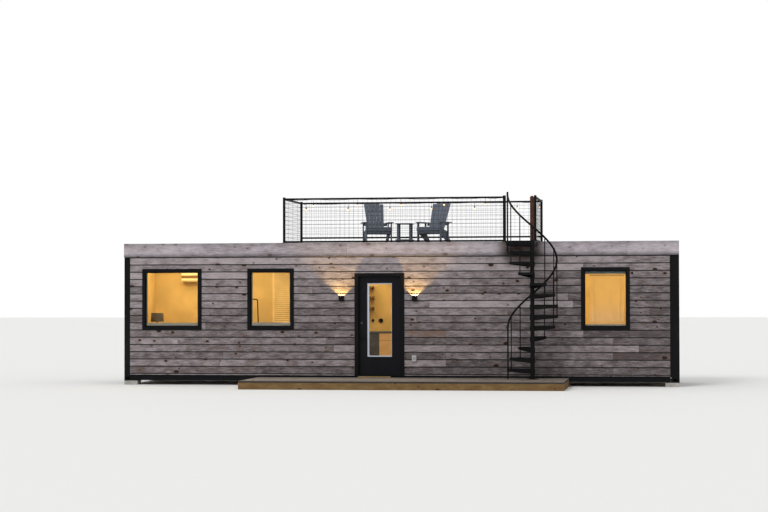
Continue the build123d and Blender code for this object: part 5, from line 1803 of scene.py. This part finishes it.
@dataclass
class FloorLamp:
    """A floor lamp behind the left window."""

    x: float = -5.514
    y: float = 0.45
    shade_foot: float = 1.384
    base: tuple[Span, ...] = ((0.13, 0), (0.13, 0.008), (0.12, 0.014), (0.015, 0.02), (0.011, 0.03))
    pole: tuple[Span, ...] = ((0.011, 0.02), (0.011, 1.16))

    def build(self) -> None:
        """Turn the base and the pole, and close the shade's outline on itself."""
        foot = (self.x, self.y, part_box("floor")[1].z)
        stand = [turned(self.base, foot, 28), turned(self.pole, foot, 12)]
        make_piece("floor_lamp_stand", stand, Palette.rail_brown, smooth=40)
        drum = [
            (0.130, 0), (0.147, 0), (0.1485, 0.003), (0.138, 0.193), (0.1365, 0.196), (0.120, 0.196),
            (0.118, 0.19), (0.012, 0.16), (0.010, 0.03), (0.128, 0.01),
        ]
        shade = turned(drum, (self.x, self.y, self.shade_foot), 32, hoop=True)
        make_piece("floor_lamp_shade", shade, Palette.shade, smooth=50)


@dataclass
class ClothesRail:
    """A rail of bent tube behind the middle window."""

    y: float = 1.2
    left: float = -3.95
    right: float = -3.375
    top: float = 1.884
    bend: float = 0.035
    tube: float = 0.0125
    splay: float = 0.05
    foot: float = 0.2

    def build(self) -> None:
        """Carry the tube up, round two quarter circles and down, and stand it on two feet."""
        floor, y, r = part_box("floor")[1].z, self.y, self.bend
        turn = np.linspace(0, math.pi / 2, 7)
        ground, splayed = floor + 0.012, self.right + self.splay
        rise = spots(self.left + r - r * np.cos(turn), y, self.top - r + r * np.sin(turn))
        fall = spots(self.right - r + r * np.sin(turn), y, self.top - r + r * np.cos(turn))
        path = np.concatenate([[(self.left, y, ground)], rise, fall, [(splayed, y, ground)]])
        shapes = [pipe(path, self.tube, 12, (0, 1, 0))]
        for x in (self.left, splayed):
            ends = [(x, y - self.foot, floor + self.tube), (x, y + self.foot, floor + self.tube)]
            shapes.append(pipe(ends, self.tube, 12))
        make_piece("clothes_rail", shapes, Palette.rail_brown, smooth=50)


@dataclass
class LouvrePanel:
    """A louvred panel against the back wall, behind the middle window."""

    x: Span = (-3.217, -2.50)
    top: float = 2.70
    wall: float = 2.16
    thickness: float = 0.034
    stile: float = 0.05
    foot: float = 0.12
    head: float = 0.06
    slat: float = 0.038
    slat_thickness: float = 0.004
    slat_lean: Point = (0, -0.86, 0.51)
    slat_inset: float = 0.020
    slat_foot: float = 0.163
    slat_head: float = 0.08
    pitch: float = 0.0459
    back_lap: float = 0.002
    back_y: Span = (0.004, 0.0005)
    back_foot: float = 0.11
    back_head: float = 0.055

    def build(self) -> None:
        """Frame the panel, fill it with leaning slats and close its back with a dark board that paints the
        shade between the slats.
        """
        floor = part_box("floor")[1].z
        s = self.stile
        y = (self.wall - self.thickness, self.wall)
        panel = border(self.x, y, (floor, self.top), s, s, self.foot, self.head, 0.003)
        left, right = self.x[0] + s, self.x[1] - s
        slat_y = self.wall - self.slat_inset
        ends = (left, slat_y, 0), (right, slat_y, 0)
        slat = beam(*ends, self.slat, self.slat_thickness, self.slat_lean, 0.001)
        levels = np.arange(floor + self.slat_foot, self.top - self.slat_head, self.pitch)
        panel.append(copies(slat, spots(0, 0, levels)))
        make_piece("louvre_panel", panel, Palette.louvre)
        # Painted shade: the dark back stands for the shade seen between the slats.
        across = (left - self.back_lap, right + self.back_lap)
        depth = (self.wall - self.back_y[0], self.wall - self.back_y[1])
        back = block(across, depth, (floor + self.back_foot, self.top - self.back_head), 0.001)
        make_piece("louvre_back", back, Palette.louvre_gap_shade)


@dataclass
class DoorDetails:
    """White bead round the door's glass, lip, threshold and key cylinder."""

    inset: float = 0.0097
    bead_left: float = 0.044
    bead_ends: float = 0.025
    bead_right: float = 0.008
    lip: float = 0.016
    lip_height: float = 0.012
    bead_height: float = 0.0065
    lift: float = 0.0002
    side_gap: float = 0.004
    threshold_y: Span = (0.002, 0.05)
    threshold_gap: float = 0.0015
    lock_x: float = 0.055
    lock_z: float = 1.362

    def build(self) -> None:
        """Lay the bead on the pane inside the lite, wider on the lock side as the photograph shows."""
        low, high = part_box("door_glass")
        x0, x1 = low.x + self.inset, high.x - self.inset
        z0, z1 = low.z + self.inset, high.z - self.inset
        near, y = low.y - self.lift, (low.y - self.lip_height, low.y - self.lift)
        inner = x1 - self.lip
        lip = [block((inner, x1), y, (z0, z1), 0.001), block((x0, inner), y, (z0, z0 + self.lip), 0.001)]
        make_piece("door_lite_lip", lip, Palette.door, FRONT_DOOR)
        widths = (self.bead_left, self.bead_right, self.bead_ends, self.bead_ends)
        depth = (low.y - self.bead_height, near)
        bead = border((x0, inner), depth, (z0 + self.lip, z1), *widths, 0.002)
        make_piece("door_glass_bead", bead, Palette.bead, FRONT_DOOR)
        leaf_low, leaf_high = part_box("door_leaf")
        across = (leaf_low.x + self.side_gap, leaf_high.x - self.side_gap)
        along = (leaf_low.y + self.threshold_y[0], leaf_low.y + self.threshold_y[1])
        level = (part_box("door_frame")[0].z + self.side_gap, leaf_low.z - self.threshold_gap)
        threshold = block(across, along, level, 0.002)
        make_piece("door_threshold", threshold, Palette.lamps)
        x, rose, z = leaf_low.x + self.lock_x, leaf_low.y + 0.008 - 0.014, self.lock_z
        outline = [(0.026, 0), (0.026, 0.003), (0.021, 0.0045), (0.009, 0.0045)]
        cylinder = turned(outline, ORIGIN, 24).facing_front((x, rose, z))
        depth = (rose - 0.0052, rose - 0.004)
        keyway = block((x - 0.0012, x + 0.0012), depth, (z - 0.004, z + 0.004), 0.0003)
        lock = [cylinder, keyway]
        make_piece("door_key_cylinder", lock, Palette.lock, FRONT_DOOR, smooth=40)


@dataclass
class OutletDetails:
    """Two dark slots painted as the shade of the cover's recesses, and a hinge on the socket's weather cover.
    """

    slot_place: float = 0.019
    slot_width: float = 0.012
    slot_height: float = 0.072

    def build(self) -> None:
        """Set the slots into the lid's face and a hinge rod along its top."""
        low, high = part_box("outlet_cover")
        z, half = (low.z + high.z) / 2, self.slot_width / 2
        slots = []
        # Painted shade: each slot is a dark block in the colour of a shaded recess.
        for shift in (-self.slot_place, self.slot_place):
            x = (low.x + high.x) / 2 + shift
            height = (z - self.slot_height / 2, z + self.slot_height / 2)
            slots.append(block((x - half, x + half), (low.y - 0.0006, low.y + 0.004), height, 0.001))
        make_piece("outlet_slot_shade", slots, Palette.rail_brown)
        rod = pipe([(x, low.y + 0.014, high.z - 0.006) for x in (low.x + 0.012, high.x - 0.012)], 0.004)
        make_piece("outlet_hinge", rod, Palette.outlet, smooth=50)


@dataclass
class Kitchen:
    """Cabinet fronts and pans on the back wall, seen through the door."""

    front: float = 1.542
    carcass: float = 1.560
    reveal: float = 0.003
    toe: float = 0.1
    worktop: float = 0.040
    drawer_split: float = 0.944
    pan_wall: float = 2.158
    pans: tuple[tuple[float, float, float], ...] = ((-0.868, 1.392, 0.034), (-0.683, 1.388, 0.052))

    def fronts(self, x: Span, z: Span, count: int) -> list[Shape]:
        """Flat fronts side by side with narrow reveals.

        Args:
            x: Ends of the row.
            z: Its lower and upper edge.
            count: Number of fronts.

        Returns:
            The fronts.
        """
        r, edges = self.reveal, np.linspace(*x, count + 1)
        y, height = (self.front, self.carcass), (z[0] + r, z[1] - r)
        return [block((left + r, right - r), y, height) for left, right in zip(edges, edges[1:])]

    def build(self) -> None:
        """Hang the fronts, then the pans."""
        low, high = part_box("kitchen_counter")
        toe, under, middle = low.z + self.toe, high.z - self.worktop, self.drawer_split
        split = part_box("drawer_fronts")[0].x
        dark = self.fronts((low.x, split), (toe, under), 2)
        make_piece("cabinet_fronts_dark", dark, Palette.cabinet)
        x = (split, high.x)
        pale = self.fronts(x, (toe, middle), 3) + self.fronts(x, (middle, under), 3)
        make_piece("cabinet_fronts_pale", pale, Palette.oak, replaces=("drawer_fronts",))
        pans = []
        for place, z, r in self.pans:
            outline = [(r * 0.86, 0.0), (r, 0.025), (r * 0.96, 0.025), (r * 0.8, 0.006), (0.002, 0.006)]
            pans.append(turned(outline, ORIGIN, 28).facing_front((place, self.pan_wall, z)))
        make_piece("wall_pans", pans, Palette.lamps, smooth=40)


@dataclass
class Sconces:
    """Frosted lamps low in the two wall lights, and the light that they throw up the boards."""

    watts: float = 400.0
    near: float = 0.65
    slow: float = 0.28
    color: Color = (1.0, 0.64, 0.19)
    soft_size: float = 0.010
    half_width: float = 0.053
    wall_gap: float = 0.034
    foot: float = 0.031
    light_up: float = 0.032

    def build(self) -> None:
        """Stand a dome in each cup, with a light over it that fades with distance, not its square."""
        low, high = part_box("sconces")
        domes = []
        for x in (low.x + self.half_width, high.x - self.half_width):
            y, z = high.y - self.wall_gap, low.z + self.foot
            domes.append(turned([(0.016, 0), (0.016, 0.012), (0.013, 0.02), (0.006, 0.025)], (x, y, z)))
            light = bpy.data.lights.new("sconce_light", "POINT")
            light.energy = self.watts
            light.color = self.color
            light.shadow_soft_size = self.soft_size
            light.use_nodes = True
            graph = Graph(light.node_tree)
            falloff = {"Strength": self.near, "Smooth": 0.004}
            _, linear, constant = graph.values("LightFalloff", falloff)
            strength = linear + constant * (self.slow / self.near)
            graph.feed(light.node_tree.nodes["Emission"], {"Strength": strength})
            put_in_scene("sconce_light", light).location = (x, y, z + self.light_up)
        make_piece("sconce_lamps", domes, Palette.filament, smooth=50)


# Stage


@dataclass
class Studio:
    """Camera, floor and lights."""

    position: tuple[float, float, float] = (6.0, -42.77, 1.906)
    yaw: float = math.radians(8.37)
    pitch: float = math.radians(1.22)
    roll: float = math.radians(0.108)
    lens: float = 92.58
    sensor: float = 36.0
    reach: float = 400.0
    sky: float = 0.80
    sun: float = 1.1
    sun_angle: float = math.radians(24)
    sun_turn: tuple[float, float, float] = (math.radians(50), 0.0, math.radians(-28))
    floor_reach: float = 150.0
    floor_level: float = -0.001
    floor_color: Color = (0.82, 0.82, 0.81)
    room_watts: float = 27.0
    room_lamp_size: float = 1.6
    room_lamp_y: float = 1.0
    room_lamp_drop: float = 0.03
    room_shares: tuple[Span, ...] = (
        (-5.2, 1.25), (-3.4, 1.0), (-1.0, 1.0), (1.4, 1.0), (3.6, 0.88), (5.2, 0.88),
    )
    room_color: Color = (1.0, 0.79, 0.34)

    def camera(self) -> None:
        """Aim the camera as the photograph's was: yawed left of +Y, pitched up, rolled a little."""
        data = bpy.data.cameras.new("camera")
        data.lens = self.lens
        data.sensor_width = self.sensor
        data.clip_end = self.reach
        turn = Matrix.Rotation(self.yaw, 4, "Z") @ Matrix.Rotation(math.pi / 2 + self.pitch, 4, "X")
        camera = put_in_scene("camera", data)
        camera.matrix_world = Matrix.Translation(self.position) @ turn @ Matrix.Rotation(-self.roll, 4, "Z")
        bpy.context.scene.camera = camera

    def floor(self) -> None:
        """A wide pale floor, just under the ground level."""
        mesh = bpy.data.meshes.new("stage_floor")
        corners = [(-1, -1), (1, -1), (1, 1), (-1, 1)]
        points = [(x * self.floor_reach, y * self.floor_reach, self.floor_level) for x, y in corners]
        mesh.from_pydata(points, [], [(0, 1, 2, 3)])
        material = bpy.data.materials.new("stage_floor")
        material.use_nodes = True
        given = {"Base Color": self.floor_color, "Roughness": 0.9, "Specular IOR Level": 0.1}
        Graph(material.node_tree).feed(material.node_tree.nodes["Principled BSDF"], given)
        mesh.materials.append(material)
        put_in_scene("stage_floor", mesh)

    def world(self) -> None:
        """Even light from all round, and a white background for camera, glossy and transmitted rays."""
        world = bpy.data.worlds.new("studio")
        world.use_nodes = True
        world.node_tree.nodes.clear()
        graph = Graph(world.node_tree)
        path = graph.node("LightPath")
        camera, glossy, passed = (
            Value(graph, path.outputs[f"Is {kind} Ray"]) for kind in ("Camera", "Glossy", "Transmission")
        )
        seen = graph.math("MAXIMUM", graph.math("MAXIMUM", camera, glossy), passed)
        strength = seen * (1.0 - self.sky) + self.sky
        back = graph.value("Background", {"Color": (1.0, 1.0, 1.0), "Strength": strength})
        graph.node("OutputWorld", {0: back})
        bpy.context.scene.world = world

    def lamps(self) -> None:
        """One broad soft light from the front left, and warm lamps under the ceiling."""
        light = bpy.data.lights.new("key", "SUN")
        light.energy = self.sun
        light.angle = self.sun_angle
        put_in_scene("key", light).rotation_euler = self.sun_turn
        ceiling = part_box("ceiling")[0].z
        for x, share in self.room_shares:
            warm = bpy.data.lights.new("room_lamp", "AREA")
            warm.shape = "DISK"
            warm.size = self.room_lamp_size
            warm.energy = self.room_watts * share
            warm.color = self.room_color
            lamp = put_in_scene("room_lamp", warm)
            lamp.location = (x, self.room_lamp_y, ceiling - self.room_lamp_drop)

    def build(self) -> None:
        """Set the stage."""
        bpy.context.scene.view_settings.view_transform = "Standard"
        self.camera()
        self.floor()
        self.world()
        self.lamps()


def main() -> None:
    """Build the cabin's pieces in order."""
    logging.basicConfig(level=logging.INFO, format="%(name)s: %(message)s")
    Studio().build()
    dress_solids()
    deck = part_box("roof_deck")[1].z
    deck_joists, porch_joists = np.linspace(-6.020, 6.020, 20), np.linspace(-3.031, 3.731, 16)
    for part in (
        BoardedFront(),
        RoofEdge(),
        PlankFloor("deck_planks", "roof_deck", "deck_wood", Palette.deck, 17, deck_joists, 21),
        PlankFloor("porch_planks", "porch_boards", "porch_wood", Palette.porch, 15, porch_joists, 33),
        TerraceMesh(),
        StringLights(),
        GardenChair("garden_chair_left", "chair_left", (-0.570, 0.800, deck), math.radians(20)),
        GardenChair("garden_chair_right", "chair_right", (0.715, 0.800, deck), math.radians(-22)),
        SideTable(),
        StairFittings(),
        WindowSashes(),
        Blind(),
        FloorLamp(),
        ClothesRail(),
        LouvrePanel(),
        DoorDetails(),
        OutletDetails(),
        Kitchen(),
        Sconces(),
    ):
        part.build()


if __name__ == "__main__":
    main()
